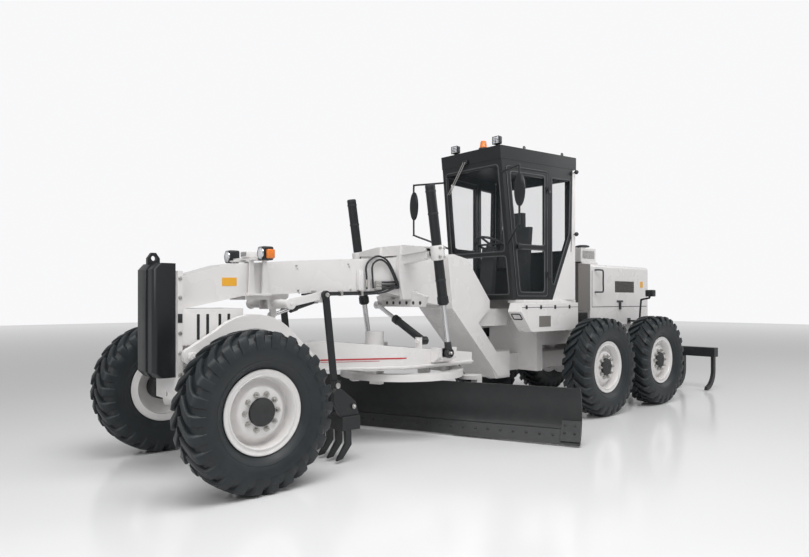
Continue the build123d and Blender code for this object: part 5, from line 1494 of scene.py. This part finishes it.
hinges = []
for x in (-4.05, -4.36, -4.68, -5.02):
    hinges.append(slab(at(x - 0.018, 0.7395, 1.478), at(x + 0.018, 0.746, 1.528), 0.003))
    hinges.append(tube([at(x - 0.022, 0.746, 1.50), at(x + 0.022, 0.746, 1.50)], 0.006, 8))
piece("tank_hinges", "rear_frame", "black_paint", DARK, both(*hinges))
patch = side_sheet(0.7404, [(-4.32, 1.24), (-4.32, 1.385), (-4.58, 1.385), (-4.58, 1.24)])
piece("tank_patches", "rear_frame", "grey_paint", GREY, both(patch))
slope = np.array([-SLOPE_X, 0, -SLOPE_Z]) / math.hypot(SLOPE_X, SLOPE_Z)
face_out = np.array([SLOPE_Z, 0, -SLOPE_X]) / math.hypot(SLOPE_X, SLOPE_Z)
centre = at(-3.990, 0.631, 1.380) + face_out * 0.002
outline = loop([(-0.045, -0.07), (0.045, -0.07), (0.045, 0.07), (-0.045, 0.07)], 0.018)
slot_frame = tube([centre + a * slope + np.array([0, b, 0]) for a, b in outline], 0.008, 8, closed=True)
piece("tank_slots", "rear_frame", "black_paint", DARK, both(slot_frame))

# %% [markdown]
# ## Studio
#
# The floor is a pale, slightly glossy sheet, so wide that its edge is the horizon. It
# glows a little more the further out it lies, as a lit studio floor does: this is painted
# light, an emission worked out from the place on the floor, not from the camera.

# %% Floor
FLOOR_HALF = 40.0
FAR_GLOW = 0.30

floor_points = np.array([[-FLOOR_HALF, -FLOOR_HALF, 0], [FLOOR_HALF, -FLOOR_HALF, 0], [FLOOR_HALF, FLOOR_HALF, 0],
                         [-FLOOR_HALF, FLOOR_HALF, 0]])
floor_mesh = bpy.data.meshes.new("floor")
floor_mesh.from_pydata(floor_points.tolist(), [], [[0, 1, 2, 3]])
floor = bpy.data.objects.new("floor", floor_mesh)
bpy.context.scene.collection.objects.link(floor)
floor_finish = Finish("pale_floor", (0.90, 0.90, 0.905), 0.17)
across, along = floor_finish.axis("X"), floor_finish.axis("Y")
distance = (across * across + along * along).power(0.5)
# Painted light: the floor's emission rises with the distance from the middle.
glow = (distance * (1 / FLOOR_HALF)).ramp((0.20, 0.0), (0.90, FAR_GLOW))
floor_finish.feed("Emission Color", glow)
floor_finish.shader.inputs["Emission Strength"].default_value = 1.0
floor.data.materials.append(floor_finish.material)
print("floor is", 2 * FLOOR_HALF, "m wide")

# %% [markdown]
# The world is white to the camera and through glass, softer in reflections, and
# softer still as light. The sums below add one strength for each kind of ray, so the
# backdrop can be white while the machine's colours stay as they are written.

# %% World
LIGHT, SHOWN, REFLECTED = 0.30, 0.68, 0.16

world = bpy.data.worlds.new("studio")
world.use_nodes = True
bpy.context.scene.world = world
background = next(n for n in world.node_tree.nodes if n.type == "BACKGROUND")
maker = Maths(world.node_tree, None)
path = maker.node("ShaderNodeLightPath")
seen = Maths(world.node_tree, path.outputs["Is Camera Ray"])
glossy = Maths(world.node_tree, path.outputs["Is Glossy Ray"])
through = Maths(world.node_tree, path.outputs["Is Transmission Ray"])
strength = seen.larger(through) * SHOWN + glossy * REFLECTED + LIGHT
world.node_tree.links.new(strength.socket, background.inputs["Strength"])
background.inputs["Color"].default_value = (0.96, 0.96, 0.97, 1)
print("world strength to the camera", round(SHOWN + LIGHT, 2))

# %% [markdown]
# Three large area lamps do what a photographer's softboxes do: a key from above, a
# fill from the nose and a rim from behind. Their size makes the shadows soft, and
# their power is kept low so that white paint doesn't clip.

# %% Lamps
def softbox(name, place, aim, size, power):
    """A rectangular area lamp that points from its place at its aim."""
    data = bpy.data.lights.new(name, "AREA")
    data.shape = "RECTANGLE"
    data.size, data.size_y = size
    data.energy = power
    lamp = bpy.data.objects.new(name, data)
    bpy.context.scene.collection.objects.link(lamp)
    lamp.location = place
    towards = np.array(aim, float) - np.array(place, float)
    lamp.rotation_euler = Vector(towards).to_track_quat("-Z", "Y").to_euler()


softbox("key", (3, 5, 11), (0, 0.5, 1), (9, 7), 1000)
softbox("fill", (10, 3, 6), (0, 0, 1), (5, 5), 230)
softbox("rim", (-9, 6, 7), (-3, 0, 1), (7, 5), 260)
print("lamps", len(bpy.data.lights))
